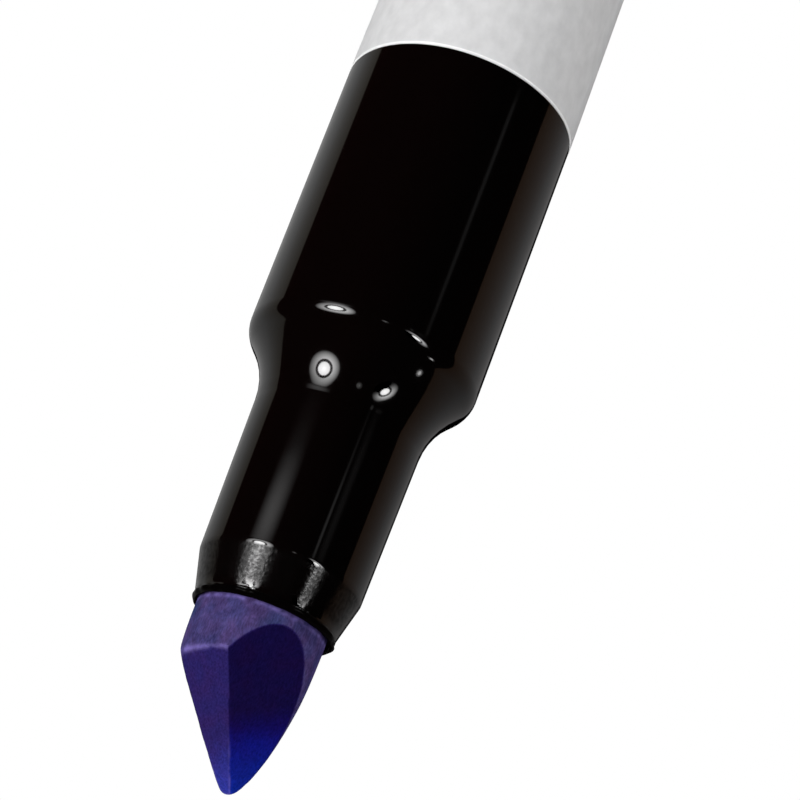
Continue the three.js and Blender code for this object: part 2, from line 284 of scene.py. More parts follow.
@dataclass(frozen=True)
class StainedFelt(Finish):
    """Pressed fibre rod soaked in a purple-blue stain.

    The round skin has dried to a dusty purple, the cut flats are wet, darker and smoother, and the
    stain gathers blue at the tip. Each flat is darker still by a share of its own: painted shade for how
    it faces the light. The flats' borders and the ridge are lighter, partly loose fibres and partly a
    painted highlight. It has dried in pools that lean to red or to blue. Fibres run along the rod.
    """

    name: ClassVar[str] = "stained pressed felt"
    dry_dark: str = "#352e58"
    dry_light: str = "#51467a"
    dry_blue: str = "#2b3f66"
    # painted shade: these three are the flats' colours, darker by how each faces the light as well as by the
    # stain
    damp_and_shaded: str = "#271d53"
    damp_and_shaded_tip: str = "#2f3492"
    wet: str = "#130b36"
    low: str = "#110b62"
    tip: str = "#0d2488"
    # painted highlight: lighter colour for loose fibres and for the light along the strip's border and the
    # ridge
    fuzz: str = "#7a6cb4"
    red_pool: Colour = (1.1, 0.97, 0.97, 1.0)
    blue_pool: Colour = (0.88, 1.03, 1.06, 1.0)
    speckle: Pair = (0.72, 1.28)
    roughness: Pair = (0.92, 0.68)
    fibre_mm: float = 0.11
    mottle_mm: float = 0.9
    patch_mm: float = 3.6
    pool_mm: float = 1.3
    noise_span: Pair = (0.3, 0.7)
    blue_span: Pair = (0.5, 0.72)
    most_blue: float = 0.7
    pool_span: Pair = (0.38, 0.62)
    damp_and_shade_span: Pair = (0, 0.5)
    wet_span: Pair = (0.5, 1)
    low_span: Pair = (0.02, 0.28)
    tip_span: Pair = (0.12, 0.9)
    fibre_stretch: float = 0.4
    fibre_depth_mm: float = 0.03

    def surface(self, tree: Tree, place: Socket) -> dict[str, Any]:
        """Each colour covers the one before it by a share, which follows the mottling, how wet the felt is
        (with the flats' painted shade) and how near the tip it is. Pools and fibres shade them all, and
        loose fibres lie on top, with a painted highlight along the flats' borders and the ridge."""
        along = add_node(tree, "Mapping", {"Vector": place, "Scale": (1, 1, self.fibre_stretch)})
        fibre = add_node(tree, "TexNoise", along, per_metre(self.fibre_mm), 2.0)
        mottle = add_node(tree, "TexNoise", place, per_metre(self.mottle_mm), 5.0, 0.6)
        patch = add_node(tree, "TexNoise", place, per_metre(self.patch_mm), 1.0)
        pool = add_node(tree, "TexNoise", place, per_metre(self.pool_mm), 3.0)
        # painted shade: this mark is real wetness plus each flat's darkening for how it faces the light
        wetness = add_node(tree, "Attribute", attribute_name="wet").outputs["Fac"]
        nearness = add_node(tree, "Attribute", attribute_name="tip").outputs["Fac"]
        loose_fibre_and_highlight = add_node(tree, "Attribute", attribute_name="fuzz").outputs["Fac"]
        mottled = add_node(tree, "MapRange", mottle, *self.noise_span)
        bluish = add_node(tree, "MapRange", patch, *self.blue_span, 0, self.most_blue)
        to_damp_and_shaded = add_node(tree, "MapRange", wetness, *self.damp_and_shade_span)
        to_wet = add_node(tree, "MapRange", wetness, *self.wet_span)
        to_low = add_node(tree, "MapRange", nearness, *self.low_span)
        to_tip = add_node(tree, "MapRange", nearness, *self.tip_span)
        wet_low = add_node(tree, "Math", to_low, to_wet, operation="MULTIPLY")
        end = add_node(tree, "Mix", to_wet, linear(self.damp_and_shaded_tip), linear(self.tip), data_type="RGBA")
        colour = linear(self.dry_dark)
        for share, cover in (
            (mottled, linear(self.dry_light)),
            (bluish, linear(self.dry_blue)),
            (to_damp_and_shaded, linear(self.damp_and_shaded)),
            (to_wet, linear(self.wet)),
            (wet_low, linear(self.low)),
            (to_tip, end),
        ):
            colour = add_node(tree, "Mix", share, colour, cover, data_type="RGBA")
        to_blue = add_node(tree, "MapRange", pool, *self.pool_span)
        pools = add_node(tree, "Mix", to_blue, self.red_pool, self.blue_pool, data_type="RGBA")
        speckle = add_node(tree, "MapRange", fibre, *self.noise_span, *self.speckle)
        for shade in (pools, speckle):
            colour = add_node(tree, "Mix", 1.0, colour, shade, data_type="RGBA", blend_type="MULTIPLY")
        # painted highlight: the fuzz mark lightens the flats' borders and the ridge, on top of loose fibres
        fibre_and_highlight_share = add_node(tree, "Math", loose_fibre_and_highlight, mottled, operation="MULTIPLY")
        tangle = add_node(tree, "Math", fibre, mottle, operation="MULTIPLY")
        return {
            "Base Color": add_node(tree, "Mix", fibre_and_highlight_share, colour, linear(self.fuzz), data_type="RGBA"),
            "Roughness": add_node(tree, "MapRange", wetness, 0, 1, *self.roughness),
            "Specular IOR Level": 0.0,
            "Normal": add_node(tree, "Bump", {"Height": tangle, "Distance": self.fibre_depth_mm * MM}),
        }


@dataclass(frozen=True)
class BondedFibre(Finish):
    """Undyed polyester fibre bonded into a tube, which has drawn in some of the stain in clouds."""

    name: ClassVar[str] = "bonded buffer fibre"
    clean: str = "#d8d1bf"
    stained: str = "#5a4a86"
    roughness: float = 0.9
    fibre_mm: float = 0.15
    stain_mm: float = 4.0
    stain_span: Pair = (0.45, 0.7)
    fibre_stretch: float = 0.15
    fibre_depth_mm: float = 0.05

    def surface(self, tree: Tree, place: Socket) -> dict[str, Any]:
        """Fibres along the tube lift the surface, and stain clouds tint it."""
        along = add_node(tree, "Mapping", {"Vector": place, "Scale": (1, 1, self.fibre_stretch)})
        fibre = add_node(tree, "TexNoise", along, per_metre(self.fibre_mm), 3.0)
        cloud = add_node(tree, "TexNoise", place, per_metre(self.stain_mm), 4.0)
        share = add_node(tree, "MapRange", cloud, *self.stain_span)
        colour = add_node(tree, "Mix", share, linear(self.clean), linear(self.stained), data_type="RGBA")
        return {
            "Base Color": colour,
            "Roughness": self.roughness,
            "Normal": add_node(tree, "Bump", {"Height": fibre, "Distance": self.fibre_depth_mm * MM}),
        }


@dataclass(frozen=True)
class NaturalPolyethylene(Finish):
    """Uncoloured moulded polyethylene: milky, a little waxy, and light passes into its skin."""

    name: ClassVar[str] = "natural polyethylene"
    colour: str = "#e8e5da"
    thick: str = "#dcd8c8"
    roughness: Pair = (0.37, 0.5)
    cloud_mm: float = 2.5
    milkiness: float = 0.25
    light_reach: Triple = (1.0, 0.9, 0.75)
    depth_mm: float = 0.6

    def surface(self, tree: Tree, place: Socket) -> dict[str, Any]:
        """Soft clouds where the wall is thicker, over a shallow light depth."""
        cloud = add_node(tree, "TexNoise", place, per_metre(self.cloud_mm), 2.0)
        colour = add_node(tree, "Mix", cloud, linear(self.colour), linear(self.thick), data_type="RGBA")
        return {
            "Base Color": colour,
            "Roughness": add_node(tree, "MapRange", cloud, 0, 1, *self.roughness),
            "Subsurface Weight": self.milkiness,
            "Subsurface Radius": self.light_reach,
            "Subsurface Scale": self.depth_mm * MM,
        }


@dataclass(frozen=True)
class NitrileRubber(Finish):
    """Moulded nitrile rubber: soft black with a fine dusty grain that kills the shine."""

    name: ClassVar[str] = "nitrile rubber"
    colour: str = "#1d1d20"
    dust: str = "#2c2c2f"
    roughness: float = 0.72
    grain_mm: float = 0.12
    grain_depth_mm: float = 0.01

    def surface(self, tree: Tree, place: Socket) -> dict[str, Any]:
        """A fine grain lifts the surface and lightens its high spots."""
        grain = add_node(tree, "TexNoise", place, per_metre(self.grain_mm), 2.0)
        colour = add_node(tree, "Mix", grain, linear(self.colour), linear(self.dust), data_type="RGBA")
        return {
            "Base Color": colour,
            "Roughness": self.roughness,
            "Normal": add_node(tree, "Bump", {"Height": grain, "Distance": self.grain_depth_mm * MM}),
        }


@dataclass(frozen=True)
class Stainless(Finish):
    """Stainless steel: drawn for the spring, tumbled bright for the balls."""

    name: ClassVar[str] = "stainless steel"
    colour: str = "#c3c5c7"
    roughness: Pair = (0.112, 0.224)
    scratch_mm: float = 0.2
    scratch_depth_mm: float = 0.002

    def surface(self, tree: Tree, place: Socket) -> dict[str, Any]:
        """Fine marks from drawing or tumbling break the shine a little."""
        marks = add_node(tree, "TexNoise", place, per_metre(self.scratch_mm), 3.0)
        return {
            "Base Color": linear(self.colour),
            "Metallic": 1.0,
            "Roughness": add_node(tree, "MapRange", marks, 0, 1, *self.roughness),
            "Normal": add_node(tree, "Bump", {"Height": marks, "Distance": self.scratch_depth_mm * MM}),
        }


# Shapes


@dataclass(frozen=True)
class Corner:
    """A corner of an outline: distance from the axis, height and rounding, in mm."""

    r: float
    z: float
    round: float = 0.0


def arc(before: Array, corner: Array, after: Array, radius: float) -> Array:
    """The arc that rounds a corner and touches both of its sides.

    Its centre lies on the corner's bisector, radius / sin(half angle) from the corner, and it starts
    and ends radius / tan(half angle) from it.

    Args:
        before: the point that the first side comes from.
        corner: the corner.
        after: the point that the second side goes to.
        radius: the arc's radius.

    Returns:
        The arc's points in order, as rows.
    """
    back = (before - corner) / np.linalg.norm(before - corner)
    ahead = (after - corner) / np.linalg.norm(after - corner)
    half = np.arccos(np.clip(back @ ahead, -1, 1)) / 2
    bisector = (back + ahead) / np.linalg.norm(back + ahead)
    centre = corner + bisector * radius / np.sin(half)
    start = corner + back * radius / np.tan(half) - centre
    end = corner + ahead * radius / np.tan(half) - centre
    turn = np.arctan2(start[0] * end[1] - start[1] * end[0], start @ end)
    angles = np.linspace(0, turn, max(3, int(np.ceil(abs(turn) / ARC_STEP)) + 1))
    x = start[0] * np.cos(angles) - start[1] * np.sin(angles)
    y = start[0] * np.sin(angles) + start[1] * np.cos(angles)
    return centre + np.stack([x, y], axis=1)


def straight(start: Array, end: Array) -> Array:
    """The inner points of a straight stretch, which crowd towards its ends as half a cosine wave does."""
    count = max(2, int(np.ceil(np.linalg.norm(end - start) / RING_SPACING)))
    share = (1 - np.cos(np.pi * np.arange(1, count) / count)) / 2
    return start + share[:, None] * (end - start)


def outline(corners: Sequence[Corner], closed: bool = False) -> Array:
    """Turns corners into a line of points: arcs at the roundings, and straight stretches between.

    Args:
        corners: the corners in order.
        closed: whether the line comes back to its first corner.

    Returns:
        The points (r, z) as rows, in mm.
    """
    places = np.array([[c.r, c.z] for c in corners])
    count = len(corners)
    bends = []
    for i, corner in enumerate(corners):
        inner = closed or 0 < i < count - 1
        if corner.round and inner:
            bends.append(arc(places[i - 1], places[i], places[(i + 1) % count], corner.round))
        else:
            bends.append(places[i : i + 1])
    following = bends[1:] + (bends[:1] if closed else [])
    stretches = [np.vstack([bend, straight(bend[-1], after[0])]) for bend, after in zip(bends, following)]
    return np.vstack(stretches if closed else [*stretches, bends[-1]])


def ramp(values: Array, start: float, width: float) -> Array:
    """Climbs from 0 at the start to 1 a width further on, or a width before it where that is negative."""
    return np.clip((values - start) / width, 0, 1)


def smooth(share: Array) -> Array:
    """Eases a share from 0 to 1 in and out: smoothstep."""
    return share * share * (3 - 2 * share)


def around(count: int) -> Array:
    """Angles at equal steps round a circle."""
    return 2 * np.pi * np.arange(count) / count


def value_noise(points: Array, seed: float) -> Array:
    """Smooth noise from -1 to 1 whose cells are one unit wide.

    Each corner of a point's cell gets the fractional part of a large multiple of a sine, and the point
    takes their mean, weighted by smoothstep of its share of the way across the cell.

    Args:
        points: places, with x, y and z along the last axis.
        seed: a number that picks the pattern.

    Returns:
        One value for each point.
    """
    cell = np.floor(points)
    share = smooth(points - cell)
    total = np.zeros(points.shape[:-1])
    for corner in itertools.product((0, 1), repeat=3):
        weight = np.prod(np.where(corner, share, 1 - share), axis=-1)
        number = np.sin((cell + corner) @ NOISE_KEY + seed) * NOISE_GAIN
        total += weight * (2 * (number - np.floor(number)) - 1)
    return total


def new_object(name: str, data: bpy.types.ID) -> Object:
    """Adds an object to the scene for a mesh, a lamp or a camera."""
    made = bpy.data.objects.new(name, data)
    bpy.context.scene.collection.objects.link(made)
    return made


def mesh_object(name: str, points: Array, faces: Sequence[Sequence[int]]) -> Object:
    """Makes a mesh object from points in metres and faces."""
    mesh = bpy.data.meshes.new(name)
    mesh.from_pydata(points.tolist(), [], faces)
    mesh.update()
    return new_object(name, mesh)


def mesh_points(mesh: Mesh) -> Array:
    """A mesh's points as rows, in mm."""
    places = np.empty(len(mesh.vertices) * 3)
    mesh.vertices.foreach_get("co", places)
    return places.reshape(-1, 3) / MM


def store(mesh: Mesh, **marks: Array) -> None:
    """Stores marks on a mesh for its finish to read: each has a number for every point."""
    for name, values in marks.items():
        mesh.attributes.new(name, "FLOAT", "POINT").data.foreach_set("value", values.astype(np.float32))


def ring_quads(rows: int, columns: int, wrap_rows: bool) -> Array:
    """Quads between neighbouring rows of a grid whose columns close on themselves."""
    row = np.arange(rows if wrap_rows else rows - 1)[:, None]
    column = np.arange(columns)[None, :]
    above = (row + 1) % rows
    beside = (column + 1) % columns
    low, high = row * columns, above * columns
    quads = [low + column, low + beside, high + beside, high + column]
    return np.stack(np.broadcast_arrays(*quads), axis=-1).reshape(-1, 4)


def enclosed_volume(points: Array, faces: Sequence[Sequence[int]]) -> float:
    """The signed volume in a closed surface: a sixth of the sum of the triangles' triple products."""
    triangles = np.array([(f[0], f[i], f[i + 1]) for f in faces for i in range(1, len(f) - 1)])
    a, b, c = (points[triangles[:, i]] for i in range(3))
    return float(np.einsum("ij,ij->i", a, np.cross(b, c)).sum() / 6)


def grid_piece(
    name: str,
    grid: Array,
    wrap_rows: bool = False,
    first_pole: Array | None = None,
    last_pole: Array | None = None,
) -> Object:
    """Makes a closed mesh from a grid of points whose columns close on themselves.

    Args:
        name: the piece's name.
        grid: points in mm, with rows, columns and x, y, z as its axes.
        wrap_rows: whether the last row joins the first, as in a ring.
        first_pole: the point that closes the first row, if the rows don't wrap.
        last_pole: the point that closes the last row, if the rows don't wrap.

    Returns:
        The new object, at the origin, with its faces pointing out.
    """
    rows, columns = grid.shape[:2]
    points = grid.reshape(-1, 3)
    faces = ring_quads(rows, columns, wrap_rows).tolist()
    column = np.arange(columns)
    beside = (column + 1) % columns
    if first_pole is not None:
        points = np.vstack([points, first_pole])
        pole = np.full(columns, len(points) - 1)
        faces += np.stack([pole, beside, column], axis=1).tolist()
    if last_pole is not None:
        points = np.vstack([points, last_pole])
        pole = np.full(columns, len(points) - 1)
        last = (rows - 1) * columns
        faces += np.stack([pole, last + column, last + beside], axis=1).tolist()
    if enclosed_volume(points, faces) < 0:
        faces = [face[::-1] for face in faces]
    return mesh_object(name, points * MM, faces)


def capped_sweep(name: str, grid: Array) -> Object:
    """Makes a bar from its cross-sections, with a fan of faces over each end."""
    return grid_piece(name, grid, first_pole=grid[0].mean(axis=0), last_pole=grid[-1].mean(axis=0))


def turned(
    name: str,
    corners: Sequence[Corner],
    closed: bool,
    sides: int,
    reshape: Callable[[Array, Array, Array], Array] | None = None,
) -> Object:
    """Turns an outline about Z: a point at (r, z) and angle t lands at (r cos t, r sin t, z).

    Args:
        name: the piece's name.
        corners: the outline, closed on itself or from the axis to the axis.
        closed: which of the two it is.
        sides: how many columns the surface has.
        reshape: gives each point's new distance from the axis, from r, z and the angle.

    Returns:
        The new object.
    """
    line = outline(corners, closed)
    poles = {}
    if not closed:
        poles = {"first_pole": np.array([0, 0, line[0, 1]]), "last_pole": np.array([0, 0, line[-1, 1]])}
        line = line[1:-1]
    r, z, angle = np.broadcast_arrays(line[:, :1], line[:, 1:], around(sides)[None, :])
    if reshape:
        r = reshape(r, z, angle)
    grid = np.stack([r * np.cos(angle), r * np.sin(angle), z], axis=-1)
    return grid_piece(name, grid, wrap_rows=closed, **poles)


def extent(node: str) -> Triple:
    """A CAD node's lowest and highest Z and its reach along X, in mm."""
    low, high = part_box(node)
    return low.z / MM, high.z / MM, high.x / MM


def dress(piece: Object, body: Body, slot: Slot, finish: Finish, *nodes: str) -> None:
    """Gives a new piece its finish, hangs it on its body and lets it stand for its CAD nodes.

    Args:
        piece: the new piece.
        body: the CAD body that it moves with.
        slot: the record's slot for the piece's finish; it is not used.
        finish: the finish.
        nodes: the CAD nodes that it stands for.
    """
    piece.data.materials.clear()
    piece.data.materials.append(finish.material())
    piece.data.shade_smooth()
    piece.data.set_sharp_from_angle(angle=SHARP_ANGLE)
    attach(piece, body.value)
    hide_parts(*nodes)
    log.info("%s: %d faces, %s, on body %s", piece.name, len(piece.data.polygons), finish.name, body.value)


def dress_node(node: str, finish: Finish) -> None:
    """Gives a CAD node, whose shape is right as it is, a better material."""
    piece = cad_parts[node]
    for slot in piece.material_slots:
        slot.material = finish.material()
    log.info("%s: kept from CAD, %s", node, finish.name)


# Sub-assemblies


@dataclass
class BarrelTube:
    """The light grey barrel and the black plug in its tail. Sizes in mm."""

    sides: int = 256
    wall: float = 1.3
    rim_round: float = 0.22
    rim_highlight_fade: float = 0.06
    bore_round: float = 0.15
    plug_inset: float = 0.25
    plug_gap: float = 0.05
    plug_wall: float = 1.3
    plug_floor: float = 1.4
    plug_round: float = 0.5
    recess_round: float = 0.6
    recess_edge: float = 0.2
    stub_round: float = 0.3
    bead_height: float = 0.03
    bead_width: float = 0.8
    satin: SatinPolypropylene = SatinPolypropylene()
    gloss: GlossPolypropylene = GlossPolypropylene()

    def __post_init__(self) -> None:
        """Reads the barrel's and the plug's places from the frame."""
        self.tail, self.edge, self.radius = extent("barrel")
        self.plug_face, self.plug_top, _ = extent("tail_plug")

    def build_tube(self) -> None:
        """Turns the tube: a straight wall whose rounded front rim catches the light and gets a painted
        highlight.
        """
        bore = self.radius - self.wall
        corners = [
            Corner(bore, self.tail, self.bore_round),
            Corner(self.radius, self.tail, self.rim_round),
            Corner(self.radius, self.edge, self.rim_round),
            Corner(bore, self.edge, self.bore_round),
        ]
        tube = turned("barrel_tube", corners, closed=True, sides=self.sides)
        height = mesh_points(tube.data)[:, 2]
        # painted highlight: marks the top of the front rim's rounding, which the finish whitens
        store(tube.data, rim=ramp(height, self.edge - self.rim_round, self.rim_highlight_fade))
        dress(tube, Body.BARREL, Slot.BARREL_PLASTIC, self.satin, "barrel")

    def build_plug(self) -> None:
        """Turns the cup-shaped plug, with the bead that snaps into the barrel's wall."""
        flange = self.radius - self.plug_inset
        stub = self.radius - self.wall - self.plug_gap
        recess = stub - self.plug_wall
        floor = self.plug_top - self.plug_floor
        bead = (self.tail + self.plug_top) / 2
        corners = [
            Corner(0, floor),
            Corner(recess, floor, self.recess_round),
            Corner(recess, self.plug_face, self.recess_edge),
            Corner(flange, self.plug_face, self.plug_round),
            Corner(flange, self.tail),
            Corner(stub, self.tail),
            Corner(stub, bead - self.bead_width / 2),
            Corner(stub + self.bead_height, bead, self.stub_round),
            Corner(stub, bead + self.bead_width / 2),
            Corner(stub, self.plug_top, self.stub_round),
            Corner(0, self.plug_top),
        ]
        plug = turned("end_plug", corners, closed=False, sides=self.sides // 2)
        dress(plug, Body.BARREL, Slot.BLACK_PLASTIC, self.gloss, "tail_plug")

    def build(self) -> None:
        """Builds both pieces."""
        self.build_tube()
        self.build_plug()


@dataclass
class NoseShell:
    """The stepped black shell between the barrel and the nib. Sizes in mm.

    Each mark of wear begins or ends over a pair: how far past its reference, and how wide its border
    is. A negative width is a mark's end. The near and far of the film are degrees beside the streak
    that stays clean.
    """

    sides: int = 288
    rear_round: float = 0.06
    main_length: float = 20.45
    main_front: float = 7.79
    shoulder_round: float = 1.7
    shoulder_length: float = 2.4
    nose_rear: float = 5.66
    shoulder_hollow: float = 6.0
    nose_length: float = 12.75
    nose_front: float = 5.36
    nose_round: float = 0.9
    chamfer_front: float = 4.65
    lip_length: float = 0.55
    lip_groove: float = 0.11
    groove_length: float = 0.2
    lip_radius: float = 4.69
    lip_round: float = 0.3
    fine_round: float = 0.1
    groove_round: float = 0.05
    groove_edge: float = 0.08
    spigot_round: float = 0.2
    spigot_edge: float = 0.3
    spigot_gap: float = 0.05
    spigot_wall: float = 1.2
    bore_depth: float = 17.5
    nib_gap: float = 0.1
    rib_gap: float = 0.35
    mouth_length: float = 3.4
    rib_count: int = 6
    rib_width: float = 0.9
    rib_flank: float = 0.15
    touch: float = 0.01
    step: float = 0.03
    crust_mm: float = 0.55
    crust_height: float = 0.08
    crust_on_lip: Pair = (-0.05, 0.15)
    crust_past_lip: Pair = (0.06, 0.08)
    rub_past_chamfer: Pair = (0.12, 0.08)
    rub_to_lip: Pair = (-0.16, -0.06)
    ragged_mm: float = 0.45
    ragged_height: float = 0.12
    streak_bearing: float = -25.6
    film_near: Pair = (4.5, 2)
    film_far: Pair = (18, -4)
    film_past_chamfer: Pair = (0.3, 0.2)
    film_to_lip: Pair = (-0.25, -0.1)
    gloss: GlossPolypropylene = GlossPolypropylene()

    def __post_init__(self) -> None:
        """Reads the shell's ends from the frame, and works out its bores from the barrel and the nib."""
        _, self.edge, barrel_radius = extent("barrel")
        self.rear, self.mouth, _ = extent("front_section")
        nib_radius = extent("nib")[2]
        self.rear_radius = barrel_radius - self.step
        self.spigot = barrel_radius - BarrelTube.wall - self.spigot_gap
        self.body_bore = self.spigot - self.spigot_wall
        self.nose_bore = nib_radius + self.rib_gap
        self.mouth_bore = nib_radius + self.nib_gap

    def reshape(self, r: Array, z: Array, angle: Array) -> Array:
        """Ribs along the nose bore, and lumps of dried stain on the lip.

        Near each rib's middle line the bore narrows to the mouth's bore.
        """
        low = self.edge + self.bore_depth
        high = self.mouth - self.mouth_length
        pitch = 2 * np.pi / self.rib_count
        off_rib = np.abs((angle + pitch / 2) % pitch - pitch / 2) * self.nose_bore
        rise = ramp(off_rib, self.rib_width / 2, -self.rib_flank)
        inside = (np.abs(r - self.nose_bore) < self.touch) & (z > low + self.touch) & (z < high - self.touch)
        ribbed = np.where(inside, r - rise * (self.nose_bore - self.mouth_bore), r)
        places = np.stack(np.broadcast_arrays(r * np.cos(angle), r * np.sin(angle), z), axis=-1)
        on_lip = ramp(z - self.mouth + self.lip_length, *self.crust_on_lip)
        crust = self.crust_height * value_noise(places / self.crust_mm, seed=2.9)
        return ribbed + on_lip * (r > self.mouth_bore + 2 * self.touch) * crust

    def rub(self, mesh: Mesh, chamfer: float, lip: float) -> None:
        """Marks the chamfer, which the cap's liner wipes, and where stain has dried.

        Stain covers the lip, and lies as a film on the chamfer beside one bearing that it leaves clean.

        Args:
            mesh: the shell's mesh.
            chamfer: the height where the chamfer starts.
            lip: the height where it ends.
        """
        places = mesh_points(mesh)
        past_chamfer, past_lip = places[:, 2] - chamfer, places[:, 2] - lip
        ragged = self.ragged_height * value_noise(places / self.ragged_mm, seed=6.3)
        rubbed = ramp(past_chamfer, *self.rub_past_chamfer) * ramp(past_lip - ragged, *self.rub_to_lip)
        beside = np.abs(np.degrees(np.arctan2(places[:, 0], -places[:, 1])) - self.streak_bearing)
        film = ramp(beside, *self.film_near) * ramp(beside, *self.film_far)
        film *= ramp(past_chamfer, *self.film_past_chamfer) * ramp(past_lip, *self.film_to_lip)
        store(mesh, rubbed=rubbed, crusted=np.maximum(ramp(past_lip, *self.crust_past_lip), film))

    def build(self) -> None:
        """Turns the shell from its spigot over the shoulder to the lip, and back along its bores."""
        shoulder = self.edge + self.main_length
        nose = shoulder + self.shoulder_length
        chamfer = nose + self.nose_length
        lip = self.mouth - self.lip_length
        corners = [
            Corner(self.body_bore, self.rear, self.spigot_round),
            Corner(self.spigot, self.rear, self.spigot_edge),
            Corner(self.spigot, self.edge),
            Corner(self.rear_radius, self.edge, self.rear_round),
            Corner(self.main_front, shoulder, self.shoulder_round),
            Corner(self.nose_rear, nose, self.shoulder_hollow),
            Corner(self.nose_front, chamfer, self.nose_round),
            Corner(self.chamfer_front, lip, self.fine_round),
            Corner(self.lip_radius - self.lip_groove, lip + self.groove_length / 2, self.groove_round),
            Corner(self.lip_radius, lip + self.groove_length, self.groove_edge),
            Corner(self.lip_radius, self.mouth, self.lip_round),
            Corner(self.mouth_bore, self.mouth, self.fine_round),
            Corner(self.mouth_bore, self.mouth - self.mouth_length),
            Corner(self.nose_bore, self.mouth - self.mouth_length),
            Corner(self.nose_bore, self.edge + self.bore_depth),
            Corner(self.body_bore, self.edge + self.bore_depth),
        ]
        shell = turned("nose_shell", corners, closed=True, sides=self.sides, reshape=self.reshape)
        self.rub(shell.data, chamfer, lip)
        dress(shell, Body.BARREL, Slot.BLACK_PLASTIC, self.gloss, "front_section")


@dataclass(frozen=True)
class Flat:
    """A flat cut on the nib: the way it faces, how far it leans in from the axis, the height above the
    mouth at which it crosses the axis, how wet it is, darkened too as painted shade for how it faces the
    light, and how frayed its border, lightened too as a painted highlight along it. A flat that the blade
    cut unevenly falls away by bow t^2 + twist t^3, where t is the distance across it from its middle."""

    azimuth: float
    lean: float
    apex: float
    wetness: float
    fray_and_highlight: float
    bow: float = 0.0
    twist: float = 0.0

    def normal(self) -> Array:
        """The unit vector that points out of the flat."""
        turn, lean = np.radians(self.azimuth), np.radians(self.lean)
        return np.array([np.cos(lean) * np.cos(turn), np.cos(lean) * np.sin(turn), np.sin(lean)])

    def beyond(self, points: Array) -> Array:
        """How far each point lies in front of the flat, in mm, with heights from the mouth."""
        turn = np.radians(self.azimuth)
        across = points @ np.array([-np.sin(turn), np.cos(turn), 0])
        fallen = self.bow * across**2 + self.twist * across**3
        return (points - np.array([0, 0, self.apex])) @ self.normal() + fallen


